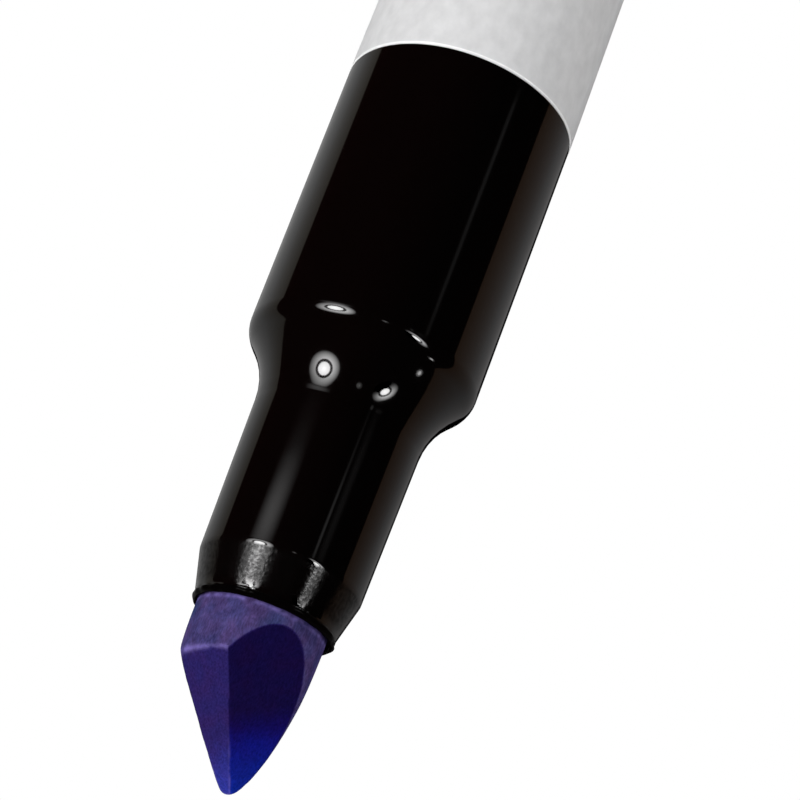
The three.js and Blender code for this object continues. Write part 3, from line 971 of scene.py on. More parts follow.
@dataclass
class FeltNib:
    """The felt nib: a round rod with an ogive front that three flats cut to a point.

    The surface is where the soft largest of the distances beyond each face is zero. Sizes in mm, and
    heights from the mouth of the nose.
    """

    columns: int = 320
    # Each flat's wetness number also paints its shade for how it faces the light, and its fray number also
    # paints a highlight along its border.
    flats: tuple[Flat, ...] = (
        Flat(azimuth=246.19, lean=24.27, apex=10.14, wetness=1.0, fray_and_highlight=0.0),
        Flat(azimuth=289.49, lean=39.18, apex=8.47, wetness=0.5, fray_and_highlight=1.0, bow=-0.0139, twist=0.0319),
        Flat(azimuth=16.19, lean=33.13, apex=9.37, wetness=0.75, fray_and_highlight=0.3),
    )
    seat_offset: float = 0.08
    ogive_start: float = 0.94
    ogive_radius: float = 26.6
    ogive_softness: float = 0.35
    tail_chamfer: float = 0.5
    edge_softness: float = 0.05
    tip_softness: float = 0.2
    tip_zone: float = 2.2
    tip_rise: float = 0.11
    top_centre: float = 1.5
    tail_centre: float = 2.0
    bend_start: float = 2.0
    front_start: float = -1.0
    row_spacing: float = 0.09
    shank_spacing: float = 1.2
    tail_fan: tuple[float, float, int] = (-86, -4, 24)
    tip_fan: tuple[float, float, int] = (2, 88, 44)
    farthest: float = 14.0
    halvings: int = 30
    border: float = 0.06
    least_spread: float = 0.05
    # The fray and ridge marks are partly loose fibres and partly a painted highlight along the strip's
    # border and the ridge.
    fray_and_highlight_width: float = 0.13
    fray_and_highlight_start: float = 0.8
    ridge_width: float = 0.003**0.5
    ridge_fray_and_highlight: float = 0.35
    ridge_zone: Pair = (-3.0, 1.75)
    fringe_height: float = 0.1
    fringe_width: float = 0.018**0.5
    fringe_mm: float = 0.32
    fringe_fray: float = 0.9
    fringe_change: float = 1.4
    fringe_most: float = 1.7
    tuft_mm: float = 0.22
    tuft_stretch: float = 6.0
    tuft_height: float = 0.018
    dent_mm: float = 1.7
    dent_depth: float = 0.03
    tide_length: float = 6.3
    tide_slope: float = 0.55
    tide_power: float = 1.6
    felt: StainedFelt = StainedFelt()

    def __post_init__(self) -> None:
        """Reads the nib's radius and ends from the frame."""
        tail, tip, self.radius = extent("nib")
        self.mouth = extent("front_section")[1]
        self.tail = tail - self.mouth
        self.tip = tip - self.mouth
        facing = np.array([flat.normal() for flat in self.flats])
        heights = np.array([flat.normal()[2] * flat.apex for flat in self.flats])
        self.peak = np.linalg.solve(facing, heights)

    def skin(self, points: Array) -> Array:
        """How far a point lies outside the rod's round skin.

        Past the ogive's start the rod's radius falls by x squared over twice the ogive's radius, where
        x is the distance past it, eased at its start by the soft ramp s log(1 + exp(x / s)). The rod
        rests against one side of the mouth.
        """
        past_start = points[..., 2] - self.ogive_start
        ahead = self.ogive_softness * np.logaddexp(0, past_start / self.ogive_softness)
        reach = np.hypot(points[..., 0] - self.seat_offset, points[..., 1])
        return reach - self.radius + ahead**2 / (2 * self.ogive_radius)

    def outside(self, points: Array) -> Array:
        """The soft largest of the distances beyond every face: k log(sum of exp(d / k)).

        The softness k, which rounds the edges, grows near the tip, where use has worn them. The level
        end stands a little above the tip, since the rounding takes that much off.
        """
        z = points[..., 2]
        near_tip = ramp(z, self.tip - self.tip_zone, self.tip_zone)
        softness = self.edge_softness + (self.tip_softness - self.edge_softness) * near_tip**2
        chamfer = (np.hypot(points[..., 0], points[..., 1]) - z) / np.sqrt(2)
        chamfer_seat = (self.radius - self.tail - self.tail_chamfer) / np.sqrt(2)
        ends = [z - self.tip - self.tip_rise, self.tail - z, chamfer - chamfer_seat]
        faces = [self.skin(points), *ends, *(flat.beyond(points) for flat in self.flats)]
        distances = np.stack(faces) / softness
        largest = distances.max(axis=0)
        return softness * (largest + np.log(np.exp(distances - largest).sum(axis=0)))

    def rays(self) -> tuple[Array, Array]:
        """Where each row's rays start on the centre line, and how they point.

        Rows are level along the rod. At both ends they fan out from one point: down to the middle of
        the tail, and up to the tip. The centre line bends towards the point where the flats meet.

        Returns:
            The starts (rows, 1, 3) and the directions (rows, columns, 3).
        """
        tail_start = self.tail + self.tail_centre
        top_start = self.tip - self.top_centre
        level_rows = np.concatenate([
            np.arange(tail_start, self.front_start, self.shank_spacing),
            np.arange(self.front_start, top_start, self.row_spacing),
        ])
        fan_down, fan_up = (np.radians(np.linspace(*fan)) for fan in (self.tail_fan, self.tip_fan))
        fans = np.full(len(fan_down), tail_start), np.full(len(fan_up), top_start)
        heights = np.concatenate([fans[0], level_rows, fans[1]])
        tilt = np.concatenate([fan_down, np.zeros(len(level_rows)), fan_up])
        way = ramp(heights, self.bend_start, self.peak[2] - self.bend_start)
        starts = np.stack([way * self.peak[0], way * self.peak[1], heights], axis=1)[:, None, :]
        angle = around(self.columns)
        level = np.stack([np.cos(angle), np.sin(angle), np.zeros_like(angle)], axis=1)
        up = np.array([0, 0, 1.0])
        directions = np.cos(tilt)[:, None, None] * level[None] + np.sin(tilt)[:, None, None] * up
        return starts, directions

    def reach(self, starts: Array, directions: Array) -> Array:
        """How far each ray runs to the surface, found by halving an interval until it is closed."""
        near = np.zeros(np.broadcast_shapes(starts.shape, directions.shape)[:-1])
        far = np.full_like(near, self.farthest)
        for _ in range(self.halvings):
            middle = (near + far) / 2
            within = self.outside(starts + middle[..., None] * directions) < 0
            near = np.where(within, middle, near)
            far = np.where(within, far, middle)
        return (near + far) / 2

    def relief(self, points: Array) -> Array:
        """The height of the felt's tufts, drawn out along the rod, and of its shallow dents."""
        along = points / (self.tuft_mm * np.array([1, 1, self.tuft_stretch]))
        dents = self.dent_depth * value_noise(points / self.dent_mm, seed=4.1)
        return self.tuft_height * value_noise(along, seed=1.7) + dents

    def fringe(self, points: Array) -> Array:
        """How much the fibres stand up where the mouth grips the felt: a thin, broken line."""
        line = np.exp(-(((points[..., 2] - self.fringe_height) / self.fringe_width) ** 2))
        broken = self.fringe_fray + self.fringe_change * value_noise(points / self.fringe_mm, seed=7.7)
        return line * np.clip(broken, 0, self.fringe_most)

    def paint(self, mesh: Mesh, points: Array) -> None:
        """Stores how wet, how near the tip and how frayed the felt is at each point, with painted shade on
        the flats and a painted highlight along their borders.

        A point's distance from the border between two faces is the difference of its distances beyond
        them, over the length of the difference of their normals. The tide of blue stain rises from the
        tip, higher towards -X.
        """
        z = points[..., 2]
        turn = np.arctan2(points[..., 1], points[..., 0])
        lean = np.maximum(z - self.ogive_start, 0) / self.ogive_radius
        skin_normal = np.cos(lean)[..., None] * np.stack([np.cos(turn), np.sin(turn), np.tan(lean)], axis=-1)
        beyond = np.stack([flat.beyond(points) for flat in self.flats])
        cut = beyond.argmax(axis=0)
        normals = np.array([flat.normal() for flat in self.flats])[cut]
        spread = np.linalg.norm(normals - skin_normal, axis=-1)
        past_border = (beyond.max(axis=0) - self.skin(points)) / np.maximum(spread, self.least_spread)
        # painted shade: each flat's share darkens it for how it faces the light, as well as for wetness
        wetness = np.array([flat.wetness for flat in self.flats])[cut]
        wet = wetness * ramp(past_border, -self.border, 2 * self.border)
        below_tip = self.tip - z + self.tide_slope * (points[..., 0] - self.peak[0])
        tip = ramp(below_tip, self.tide_length, -self.tide_length) ** self.tide_power
        # painted highlight: lighter lines along the ridge and the strip's border, partly loose fibres
        second, first = np.sort(beyond, axis=0)[-2:]
        ridge = self.ridge_fray_and_highlight * np.exp(-(((first - second) / self.ridge_width) ** 2))
        ridge *= ramp(z - self.tip, *self.ridge_zone) * (past_border > 0)
        loose_fibre_and_highlight = np.array([flat.fray_and_highlight for flat in self.flats])[cut]
        fray_and_highlight = loose_fibre_and_highlight * np.exp(-((past_border / self.fray_and_highlight_width + 0.5) ** 2)) * (z > self.fray_and_highlight_start)
        store(mesh, wet=wet, tip=tip, fuzz=np.maximum.reduce([fray_and_highlight, self.fringe(points), ridge]))

    def build(self) -> None:
        """Works out the surface along every ray, adds the felt's relief and paints the stain, the flats'
        painted shade and their borders' painted highlight.
        """
        starts, directions = self.rays()
        length = self.reach(starts, directions)
        base = starts + length[..., None] * directions
        bare = base + directions * (self.relief(base) - self.tuft_height - self.dent_depth)[..., None]
        up = np.array([[[0, 0, 1.0]]])
        tail_pole = starts[:1] - up * self.reach(starts[:1], -up)[..., None]
        tip_pole = starts[-1:] + up * (self.reach(starts[-1:], up)[..., None] - self.tuft_height)
        lift = np.array([0, 0, self.mouth])
        poles = {"first_pole": tail_pole[0] + lift, "last_pole": tip_pole[0] + lift}
        nib = grid_piece("felt_nib", bare + lift, **poles)
        self.paint(nib.data, np.vstack([base.reshape(-1, 3), tail_pole[0], tip_pole[0]]))
        dress(nib, Body.NIB, Slot.NIB_FELT, self.felt, "nib")


@dataclass
class ValveAction:
    """The valve behind the nib, with the buffer sleeve round its shank. Sizes in mm."""

    sides: int = 128
    stem: float = 1.5
    head: float = 3.4
    head_thickness: float = 1.8
    guide_pin: float = 1.3
    wire: float = 0.5
    mean_radius: float = 2.4
    curls: float = 7.0
    end_pitch: float = 0.52
    opening: Pair = (0.6, 0.6)
    wire_sides: int = 16
    steps_per_curl: int = 40
    sleeve_gap: float = 0.1
    sleeve_round: float = 0.25
    gasket_inset: float = 0.2
    gasket_round: float = 0.12
    seat_hole: float = 1.9
    seat_round: float = 0.3
    pin_end_round: float = 0.4
    root_round: float = 0.3
    head_rear_round: float = 0.25
    head_front_round: float = 0.35
    stem_end_round: float = 0.2
    natural: NaturalPolyethylene = NaturalPolyethylene()
    rubber: NitrileRubber = NitrileRubber()
    fibre: BondedFibre = BondedFibre()
    steel: Stainless = Stainless()

    def build_rings(self) -> None:
        """Turns the flange's gasket, the plunger's seat and the porous sleeve that takes up spare stain.

        Each is a plain ring that fills its CAD node's height and radius, with rounded edges.
        """
        gasket_bore = NoseShell().body_bore + self.gasket_inset
        sleeve_bore = extent("nib")[2] + self.sleeve_gap
        seal, felt = (Slot.SEAL_RUBBER, self.rubber), (Slot.BUFFER_FELT, self.fibre)
        for name, node, bore, edge, looks in (
            ("flange_gasket", "valve_gasket", gasket_bore, self.gasket_round, seal),
            ("plunger_seat", "valve_seat", self.seat_hole, self.seat_round, seal),
            ("buffer_tube", "buffer_sleeve", sleeve_bore, self.sleeve_round, felt),
        ):
            low, high, radius = extent(node)
            section = (bore, low), (radius, low), (radius, high), (bore, high)
            ring = turned(name, [Corner(r, z, edge) for r, z in section], closed=True, sides=self.sides)
            dress(ring, Body.BARREL, *looks, node)

    def build_plunger(self) -> None:
        """Turns the plunger: guide pin behind, head that closes on the seat, stem to the nib."""
        low, high, _ = extent("valve_plunger")
        head_front = extent("valve_seat")[0]
        head_rear = head_front - self.head_thickness
        corners = [
            Corner(0, low),
            Corner(self.guide_pin, low, self.pin_end_round),
            Corner(self.guide_pin, head_rear, self.root_round),
            Corner(self.head, head_rear, self.head_rear_round),
            Corner(self.head, head_front, self.head_front_round),
            Corner(self.stem, head_front, self.root_round),
            Corner(self.stem, high, self.stem_end_round),
            Corner(0, high),
        ]
        plunger = turned("plunger", corners, closed=False, sides=self.sides)
        dress(plunger, Body.PLUNGER, Slot.NATURAL_PLASTIC, self.natural, "valve_plunger")

    def build_spring(self) -> None:
        """Winds the spring: a round wire along a helix whose first and last curls lie closed.

        The height climbs by the pitch of each step, which swells from the closed ends to the middle.
        """
        low, high, _ = extent("valve_spring")
        steps = int(self.curls * self.steps_per_curl)
        turn = 2 * np.pi * np.arange(steps + 1) / self.steps_per_curl
        curl = np.minimum(np.arange(steps), np.arange(steps)[::-1]) / self.steps_per_curl
        swell = ramp(curl, *self.opening)
        free = high - low - self.wire - self.end_pitch * self.curls
        rise = self.end_pitch / self.steps_per_curl + free * swell / swell.sum()
        height = low + self.wire / 2 + np.concatenate([[0], np.cumsum(rise)])
        angle = around(self.wire_sides)
        reach = self.mean_radius + self.wire / 2 * np.cos(angle)[None, :]
        x = reach * np.cos(turn)[:, None]
        y = reach * np.sin(turn)[:, None]
        z = height[:, None] + self.wire / 2 * np.sin(angle)[None, :]
        grid = np.stack([x, y, z], axis=-1)
        spring = capped_sweep("return_spring", grid)
        dress(spring, Body.BARREL, Slot.SPRING_STEEL, self.steel, "valve_spring")
        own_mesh(spring)

    def build(self) -> None:
        """Builds the valve's pieces; the housing and the retainer keep their CAD shapes."""
        self.build_rings()
        self.build_plunger()
        self.build_spring()
        dress_node("valve_housing", self.natural)
        dress_node("spring_retainer", self.natural)


@dataclass
class MixingBalls:
    """Two steel balls that stir the stain when the marker is shaken."""

    columns: int = 64
    rows: int = 31
    steel: Stainless = Stainless()

    def build(self) -> None:
        """Builds each ball: rings at equal steps of latitude between two poles."""
        for body in (Body.BALL_1, Body.BALL_2):
            low, high = (np.array(corner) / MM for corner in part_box(body.value))
            centre, radius = (low + high) / 2, (high - low)[2] / 2
            latitude = np.pi * (np.arange(1, self.rows + 1) / (self.rows + 1) - 0.5)
            angle = around(self.columns)
            level = radius * np.cos(latitude)[:, None]
            height = np.broadcast_to(radius * np.sin(latitude)[:, None], (self.rows, self.columns))
            grid = np.stack([level * np.cos(angle), level * np.sin(angle), height], axis=-1) + centre
            pole = np.array([0, 0, radius])
            ball = grid_piece(f"steel_{body.value}", grid, first_pole=centre - pole, last_pole=centre + pole)
            dress(ball, body, Slot.BALL_STEEL, self.steel, body.value)


@dataclass
class ClipCap:
    """The cap, posted on the tail, with its moulded clip and its sealing liner. Sizes in mm."""

    sides: int = 256
    wall: float = 1.15
    end_wall: float = 1.6
    end_round: float = 0.9
    bead: float = 0.25
    bead_length: float = 2.2
    bead_round: float = 0.2
    soft_round: float = 0.3
    gate_round: float = 0.1
    liner_wall: float = 1.0
    liner_floor: float = 1.0
    liner_mouth_round: float = 0.4
    liner_floor_round: float = 0.8
    liner_gap: float = 0.05
    socket_depth: float = 8.5
    gate_radius: float = 1.4
    gate_depth: float = 0.25
    clip_width: float = 5.0
    clip_tip_width: float = 4.2
    clip_thickness: float = 1.6
    clip_start: float = 1.5
    clip_length: float = 38.0
    clip_foot: float = 5.0
    clip_edge: float = 0.45
    clip_end_round: float = 0.7
    clip_end_tuck: float = 0.385
    clip_rows: int = 121
    foot_blend: float = 2.0
    section_depth: float = 4.0
    least_half: float = 0.02
    pad_length: float = 4.0
    pad_gap: float = 0.35
    gloss: GlossPolypropylene = GlossPolypropylene()
    natural: NaturalPolyethylene = NaturalPolyethylene()

    def __post_init__(self) -> None:
        """Reads the cap's length, radius and clip from the frame."""
        low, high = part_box("cap")
        self.length = high.z / MM
        self.radius = high.x / MM - self.bead
        self.clip_face = -low.y / MM
        self.liner_low, self.liner_high, self.liner_radius = extent("cap_liner")

    def shell(self) -> Object:
        """Turns the cap: closed end with the mark of the moulding gate, straight wall, beaded mouth."""
        bore = self.radius - self.wall
        socket = self.liner_radius + self.liner_gap
        socket_end = self.end_wall + self.socket_depth
        mouth = self.radius + self.bead
        corners = [
            Corner(0, self.gate_depth),
            Corner(self.gate_radius, self.gate_depth, self.gate_round),
            Corner(self.gate_radius, 0, self.gate_round),
            Corner(self.radius, 0, self.end_round),
            Corner(self.radius, self.length - self.bead_length, self.soft_round),
            Corner(mouth, self.length - self.bead_length + self.bead, self.soft_round),
            Corner(mouth, self.length, self.bead_round),
            Corner(bore, self.length, self.soft_round),
            Corner(bore, socket_end + bore - socket, self.soft_round),
            Corner(socket, socket_end, self.soft_round),
            Corner(socket, self.end_wall),
            Corner(0, self.end_wall),
        ]
        return turned("clip_cap", corners, closed=False, sides=self.sides)

    def clip(self) -> Object:
        """Carries a rounded rectangle along the clip: deep at the foot, thin along the arm, and thicker
        at the pad that nips the cloth. Both ends round off along a quarter circle.
        """
        end = self.clip_start + self.clip_length
        share = (1 - np.cos(np.pi * np.linspace(0, 1, self.clip_rows))) / 2
        z = self.clip_start + share * self.clip_length
        arm = self.clip_face - self.clip_thickness
        foot = self.radius - self.wall / 2
        pad = self.radius + self.bead + self.pad_gap
        to_arm = ramp(z - self.clip_start - self.clip_foot, -self.foot_blend / 2, self.foot_blend)
        to_pad = ramp(z, end - self.pad_length, self.pad_length / 2)
        near = foot + (arm - foot) * smooth(to_arm) + (pad - arm) * smooth(to_pad)
        tuck = ramp(np.minimum(z - self.clip_start, end - z), self.clip_end_round, -self.clip_end_round)
        drawn_in = self.clip_end_tuck * (1 - np.sqrt(1 - tuck**2))
        half_width = (self.clip_width + (self.clip_tip_width - self.clip_width) * share) / 2 - drawn_in
        centre = (near + self.clip_face) / 2
        half_depth = (self.clip_face - near) / 2 - drawn_in
        edge = self.clip_edge
        wide, deep = self.clip_width / 2, self.section_depth / 2
        sides = [(-wide, -deep), (wide, -deep), (wide, deep), (-wide, deep)]
        section = outline([Corner(x, y, edge) for x, y in sides], closed=True)
        core = np.clip(section, [-(wide - edge), -(deep - edge)], [wide - edge, deep - edge])
        corner_part = section - core
        shrink = np.minimum(1, (np.minimum(half_width, half_depth) - self.least_half) / edge)
        reach = edge * shrink
        across = core[:, 0] / (wide - edge) * (half_width - reach)[:, None]
        across += corner_part[:, 0] * shrink[:, None]
        depth = core[:, 1] / (deep - edge) * (half_depth - reach)[:, None]
        depth += corner_part[:, 1] * shrink[:, None]
        out = -(centre[:, None] + depth)
        grid = np.stack([across, out, np.broadcast_to(z[:, None], across.shape)], axis=-1)
        return capped_sweep("clip_arm", grid)

    def build_cap(self) -> None:
        """Fuses the clip with the shell, as they are moulded in one."""
        shell = self.shell()
        arm = self.clip()
        fuse = shell.modifiers.new("fuse_clip", "BOOLEAN")
        fuse.operation = "UNION"
        fuse.solver = "EXACT"
        fuse.object = arm
        fused = bpy.data.meshes.new_from_object(shell.evaluated_get(bpy.context.evaluated_depsgraph_get()))
        shell.modifiers.clear()
        shell.data = fused
        bpy.data.objects.remove(arm)
        dress(shell, Body.CAP, Slot.BLACK_PLASTIC, self.gloss, "cap")

    def build_liner(self) -> None:
        """Turns the liner, the inner cup that seals on the nose."""
        bore = self.liner_radius - self.liner_wall
        floor = self.liner_low + self.liner_floor
        corners = [
            Corner(0, self.liner_low),
            Corner(self.liner_radius, self.liner_low, self.soft_round),
            Corner(self.liner_radius, self.liner_high, self.soft_round),
            Corner(bore, self.liner_high, self.liner_mouth_round),
            Corner(bore, floor, self.liner_floor_round),
            Corner(0, floor),
        ]
        liner = turned("sealing_liner", corners, closed=False, sides=self.sides // 2)
        dress(liner, Body.CAP, Slot.NATURAL_PLASTIC, self.natural, "cap_liner")

    def build(self) -> None:
        """Builds the cap and its liner."""
        self.build_cap()
        self.build_liner()


# Studio


@dataclass(frozen=True)
class Dish:
    """A round dish lamp as the gloss shows it.

    Its bearing and rise, and the angular radii of its ring and core and the gap between them, are in
    degrees. The ring is dimmer by a share on one side. The dish may be stretched along a tilted line.
    """

    bearing: float
    rise: float
    spread: float
    core: float
    gap: float
    dim_side: float
    dimming: float
    stretch: float = 1.0
    tilt: float = 0.0
    strength: float = 1.0


@dataclass(frozen=True)
class Side:
    """A lit side of the tent. Its ends are in degrees away from the camera, on its own side.

    Its linear colour turns from the first to the last over the blend, which is in degrees too.
    """

    start: float
    end: float
    blend: float
    first: Triple
    last: Triple

    def glow(self, away: Array) -> Array:
        """The linear colour at some degrees away from the camera."""
        share = ramp(away, self.start, self.blend)[:, None]
        colour = self.first + np.subtract(self.last, self.first) * share
        return colour * ((away > self.start) & (away < self.end))[:, None]


@dataclass
class Studio:
    """Pale floor, white background, soft lamps, and what the gloss reflects. Sizes in metres.

    The camera stands on the -Y side. Bearings turn from it towards +X, in degrees, and rises are
    degrees above level, both seen from the marker's shoulder. The paper's rings are distances from the
    marker's foot, and its glow is how brightly the gloss shows the floor there. The dishes' hole is a
    share of their radius.
    """

    floor_radius: float = 6.0
    floor_sides: int = 128
    floor_drop: float = 0.00005
    floor_colour: str = "#f2f2f2"
    clear_foot: float = 0.03
    clear_end: float = 0.11
    foot_white: float = 0.35
    soft_light: Pair = (0.1, 0.5)
    tent_radius: float = 0.75
    tent_height: float = 1.1
    tent_floor: float = 0.0006
    tent_hole: float = 0.001
    tent_step: float = 0.5
    left_side: Side = Side(104, 165, 25, (0.26, 0.235, 0.2), (0.38, 0.38, 0.38))
    right_side: Side = Side(86, 157, 42, (0.19, 0.115, 0.075), (0.24, 0.235, 0.235))
    ember: Triple = (0.022, 0.004, 0.003)
    ember_rise: Pair = (-30, 60)
    paper_rings: tuple[float, ...] = (0.012, 0.04, 0.07, 0.1, 0.13, 0.16)
    paper_glow: tuple[float, ...] = (0.45, 0.6, 0.55, 0.35, 0.12, 0)
    lamp_distance: float = 0.6
    core_glow: float = 26.0
    core_fall: float = 8.0
    ring_glow: float = 12.0
    ring_fade: float = 0.9
    dish_haze: float = 0.3
    dish_hole: float = 0.001
    dish_rings: int = 101
    dish_spokes: int = 97
    strip_distance: float = 0.2
    strip_fade: float = 1.5
    strip_columns: int = 41
    strip_rows: int = 40
    lens_mm: float = 108.0
    camera_aim: Triple = (-0.00311, 0.0, 0.13406)
    camera_distance: float = 0.15556
    camera_elevation: float = 23.67
    camera_roll: float = 200.556
    camera_near: float = 0.01

    def __post_init__(self) -> None:
        """Takes the marker's shoulder as the point that lamps and bearings refer to."""
        nose = NoseShell()
        self.focus = np.array([0, 0, nose.edge + nose.main_length]) * MM

    def direction(self, bearing: float, rise: float) -> Array:
        """The unit vector from the shoulder at a bearing and a rise."""
        turn, lift = np.radians(bearing), np.radians(rise)
        return np.array([np.sin(turn) * np.cos(lift), -np.cos(turn) * np.cos(lift), np.sin(lift)])

    def seen(self, tree: Tree) -> Node:
        """Adds nodes that give 1 for what the camera sees directly, in gloss or through glass, else 0."""
        rays = add_node(tree, "LightPath").outputs
        direct = add_node(tree, "Math", rays["Is Camera Ray"], rays["Is Glossy Ray"], operation="MAXIMUM")
        return add_node(tree, "Math", direct, rays["Is Transmission Ray"], operation="MAXIMUM")

    def glow_material(self, clear: bool) -> Material:
        """A surface that shines by its own glow attribute, as a lit diffuser does.

        Args:
            clear: whether what is behind it shows through it too.
        """
        name = "clear glow" if clear else "studio glow"
        made = bpy.data.materials.get(name) or bpy.data.materials.new(name)
        tree = emptied_tree(made)
        glow = add_node(tree, "Attribute", attribute_name="glow")
        surface = add_node(tree, "Emission", {"Color": glow, "Strength": 1.0})
        if clear:
            surface = add_node(tree, "AddShader", surface, add_node(tree, "BsdfTransparent"))
        add_node(tree, "OutputMaterial", surface)
        return made

    def panel(self, name: str, grid: Array, glow: Array, clear: bool) -> None:
        """Makes an open studio surface that only gloss reflects.

        Args:
            name: the object's name.
            grid: points in metres, with rows, columns and x, y, z as its axes.
            glow: the linear colour that each point sends out, as (rows, columns, 3).
            clear: whether what is behind it shows through it too.
        """
        rows, columns = grid.shape[:2]
        row, column = np.meshgrid(np.arange(rows - 1), np.arange(columns - 1), indexing="ij")
        start = (row * columns + column).reshape(-1, 1)
        made = mesh_object(name, grid.reshape(-1, 3), (start + [0, 1, columns + 1, columns]).tolist())
        colours = np.concatenate([glow.reshape(-1, 3), np.ones((rows * columns, 1))], axis=1)
        attribute = made.data.attributes.new("glow", "FLOAT_COLOR", "POINT")
        attribute.data.foreach_set("color", colours.astype(np.float32).ravel())
        made.data.materials.append(self.glow_material(clear))
        made.visible_camera = False
        made.visible_diffuse = False
        made.visible_transmission = False
        made.visible_shadow = False

    def build_tent(self) -> None:
        """Sets a tent round the marker: floor, wall and roof share a glow that depends on the bearing.

        It is nearly black in front, grey at the left, and at the right a dim brown that turns grey
        behind. The floor round the foot is white paper.
        """
        bearing = np.radians(np.arange(-180, 181, self.tent_step))
        degrees = np.degrees(bearing)
        tent = self.tent_radius
        radius = np.array([*self.paper_rings, tent, tent, self.tent_hole])[:, None]
        height = np.full(radius.shape, self.tent_floor)
        height[-2:] = self.tent_height
        x, y = radius * np.sin(bearing), -radius * np.cos(bearing)
        grid = np.stack(np.broadcast_arrays(x, y, height), axis=-1)
        ember = ramp(degrees, *self.ember_rise)[:, None] * self.ember
        ember = ember * (degrees < self.left_side.start)[:, None]
        glow = self.left_side.glow(degrees) + self.right_side.glow(-degrees) + ember
        paper = np.array([*self.paper_glow, 0, 0, 0])[:, None, None]
        self.panel("reflection_tent", grid, glow + paper, clear=False)

    def build_dish(self, name: str, dish: Dish) -> None:
        """Hangs a round dish lamp: a bright core, a dark gap and a softer ring that fades outwards."""
        ahead = self.direction(dish.bearing, dish.rise)
        side = np.cross(ahead, [0, 0, 1])
        side /= np.linalg.norm(side)
        up = np.cross(side, ahead)
        share = np.linspace(self.dish_hole, 1, self.dish_rings)
        reach = self.lamp_distance * np.tan(np.radians(dish.spread)) * share
        angle = 2 * np.pi * np.linspace(0, 1, self.dish_spokes)
        tilt = np.radians(dish.tilt)
        longer = dish.stretch * np.cos(angle - tilt)
        shorter = np.sin(angle - tilt) / dish.stretch
        level = longer * np.cos(tilt) - shorter * np.sin(tilt)
        upright = longer * np.sin(tilt) + shorter * np.cos(tilt)
        flat = level[None, :, None] * side + upright[None, :, None] * up
        grid = self.focus + self.lamp_distance * ahead + reach[:, None, None] * flat
        core = dish.core / dish.spread
        gap = core + dish.gap / dish.spread
        ring = self.ring_glow * ramp(share, 1, gap - 1) ** self.ring_fade * (share > gap)
        middle = self.core_glow - self.core_fall * share / core
        bright = np.where(share < core, middle, ring + self.dish_haze)[:, None]
        dimness = (1 + np.cos(angle - np.radians(dish.dim_side))) / 2
        uneven = 1 - dish.dimming * dimness * (share > core)[:, None]
        glow = np.broadcast_to((dish.strength * bright * uneven)[..., None], grid.shape)
        self.panel(name, grid, glow, clear=True)

    def build_strip(
        self,
        name: str,
        bearing: float,
        width: float,
        heights: Sequence[float],
        strengths: Sequence[float],
    ) -> None:
        """Hangs an upright strip of light near the marker, soft at its sides.

        Args:
            name: the object's name.
            bearing: its middle, in degrees.
            width: its width in degrees.
            heights: heights along it, in metres.
            strengths: its brightness at those heights.
        """
        across = np.linspace(-1, 1, self.strip_columns)
        z = np.linspace(heights[0], heights[-1], self.strip_rows)
        turn = np.radians(bearing + width / 2 * across)
        x = self.strip_distance * np.sin(turn)
        y = -self.strip_distance * np.cos(turn)
        grid = np.stack(np.broadcast_arrays(x[None, :], y[None, :], z[:, None]), axis=-1)
        profile = np.cos(np.pi / 2 * across) ** self.strip_fade
        strength = np.interp(z, heights, strengths)
        glow = np.broadcast_to((strength[:, None] * profile)[..., None], grid.shape)
        self.panel(name, grid, glow, clear=True)

    def build_reflections(self) -> None:
        """Places everything that the black gloss shows."""
        self.build_tent()
        dishes = {
            "left_dish": Dish(40.5, 5, 19.5, 7.4, 3.0, dim_side=230, dimming=0.5),
            "right_dish": Dish(-39, 5, 12.5, 4.4, 2.2, dim_side=140, dimming=1.2, stretch=1.3, tilt=42),
            "small_dish": Dish(-70, 35, 3.0, 1.8, 0.5, dim_side=0, dimming=0.5, strength=0.35),
            "faint_dish": Dish(-7, 0, 4.0, 1.0, 0.5, dim_side=0, dimming=0.6, strength=0.14),
        }
        for name, dish in dishes.items():
            self.build_dish(name, dish)
        heights = [0.062, 0.067, 0.070, 0.074, 0.080, 0.084, 0.088, 0.095]
        low = [0.001, 0.012, 0.035, 0.045, 0.05]
        self.build_strip("left_strip", 41, 36, heights, [0.0, 0.03, 0.05, 0.1, 0.85, 1.2, 1.1, 0.0])
        self.build_strip("right_strip", -32, 5, heights, [0.0, 0.06, 0.1, 0.14, 0.36, 0.42, 0.4, 0.0])
        self.build_strip("right_haze", -42, 14, heights, [0.0, 0.04, 0.06, 0.09, 0.09, 0.09, 0.08, 0.0])
        self.build_strip("low_strip", -48, 6, low, [0.13, 0.15, 0.13, 0.08, 0.0])

    def build_floor(self) -> None:
        """Lays the pale floor, which shows the marker's shadow near its foot and fades to white."""
        angle = around(self.floor_sides)
        rim = np.stack([np.cos(angle), np.sin(angle), np.zeros_like(angle)], axis=1) * self.floor_radius
        rim[:, 2] = -self.floor_drop
        floor = mesh_object("floor", rim, [range(self.floor_sides)])
        paper = bpy.data.materials.new("white paper")
        tree = emptied_tree(paper)
        place = add_node(tree, "TexCoord").outputs["Object"]
        from_foot = add_node(tree, "VectorMath", place, operation="LENGTH")
        fade = add_node(tree, "MapRange", from_foot, self.clear_foot, self.clear_end, self.foot_white, 1.0)
        share = add_node(tree, "Math", self.seen(tree), fade, operation="MULTIPLY")
        lit = add_node(tree, "BsdfDiffuse", {"Color": linear(self.floor_colour)})
        white = add_node(tree, "Emission", {"Color": linear("#ffffff"), "Strength": 1.0})
        add_node(tree, "OutputMaterial", add_node(tree, "MixShader", share, lit, white))
        floor.data.materials.append(paper)

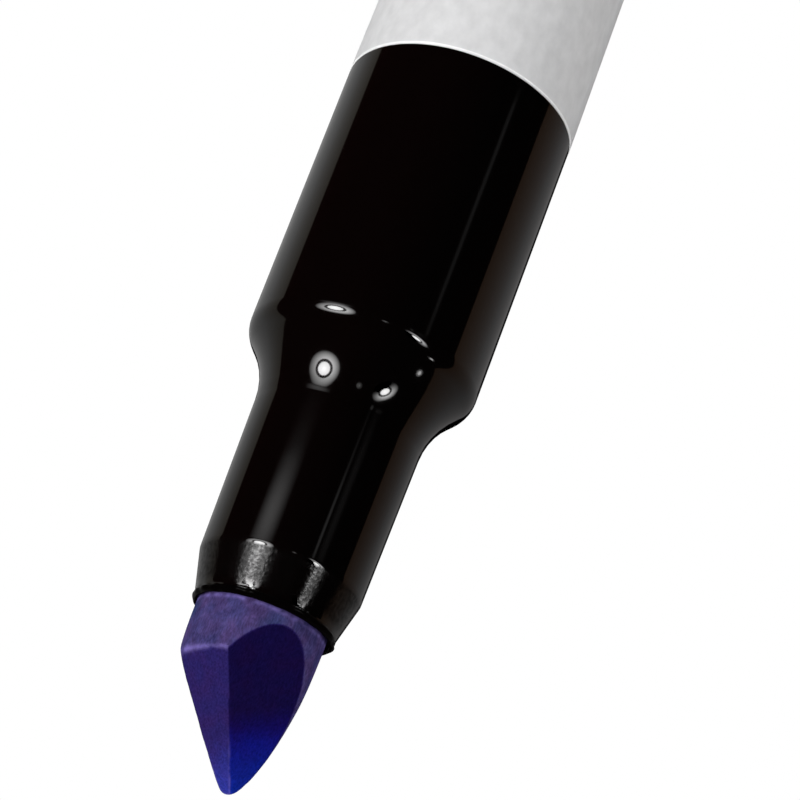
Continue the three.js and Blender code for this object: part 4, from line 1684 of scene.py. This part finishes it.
    def build_world(self) -> None:
        """Makes the background white to the eye, in gloss and through glass.

        Elsewhere it is a soft light that is stronger from the left (+X) than from the right.
        """
        world = bpy.data.worlds.new("studio")
        tree = emptied_tree(world)
        way = add_node(tree, "TexCoord").outputs["Generated"]
        soft = add_node(tree, "MapRange", add_node(tree, "SeparateXYZ", way), -1.0, 1.0, *self.soft_light)
        strength = add_node(tree, "Mix", self.seen(tree), soft, 1.0)
        light = add_node(tree, "Background", {"Color": linear("#ffffff"), "Strength": strength})
        add_node(tree, "OutputWorld", light)
        bpy.context.scene.world = world

    def build_lamps(self) -> None:
        """Hangs soft disc lamps that light the marker and aren't mirrored by it.

        There are two in front, one behind at the right and one over the nib. Each has a bearing and a
        rise, a power in watts and a diameter.
        """
        for name, bearing, rise, watts, size in (
            ("left_lamp", 43.5, 23, 1.9, 0.45),
            ("right_lamp", -42, 23, 0.4, 0.3),
            ("back_lamp", -120, 10, 0.6, 0.3),
            ("top_lamp", 0, 80, 1.8, 0.4),
        ):
            direction = self.direction(bearing, rise)
            data = bpy.data.lights.new(name, "AREA")
            data.shape = "DISK"
            data.size = size
            data.energy = watts
            lamp = new_object(name, data)
            lamp.location = self.focus + self.lamp_distance * direction
            lamp.rotation_euler = Vector(direction).to_track_quat("Z", "Y").to_euler()
            lamp.visible_glossy = False

    def build_camera(self) -> None:
        """Sets the camera level with its aim, lifts it to the elevation and rolls it about its view."""
        lift, roll = np.radians(self.camera_elevation), np.radians(self.camera_roll)
        back = Vector((0, -np.cos(lift), np.sin(lift)))
        level = Vector((1, 0, 0))
        right = level * np.cos(roll) + back.cross(level) * np.sin(roll)
        up = back.cross(right)
        data = bpy.data.cameras.new("camera")
        data.lens = self.lens_mm
        data.clip_start = self.camera_near
        camera = new_object("camera", data)
        turn = Matrix((right, up, back)).transposed().to_4x4()
        place = Vector(self.camera_aim) + back * self.camera_distance
        camera.matrix_world = Matrix.Translation(place) @ turn
        bpy.context.scene.camera = camera

    def build(self) -> None:
        """Builds the whole studio."""
        bpy.context.scene.view_settings.view_transform = "Standard"
        self.build_floor()
        self.build_world()
        self.build_reflections()
        self.build_lamps()
        self.build_camera()


def main() -> None:
    """Builds the studio and every sub-assembly in order."""
    logging.basicConfig(level=logging.INFO, format="%(name)s: %(message)s")
    for part in (Studio(), BarrelTube(), NoseShell(), FeltNib(), ValveAction(), MixingBalls(), ClipCap()):
        part.build()
        log.info("%s is done", type(part).__name__)


if __name__ == "__main__":
    main()
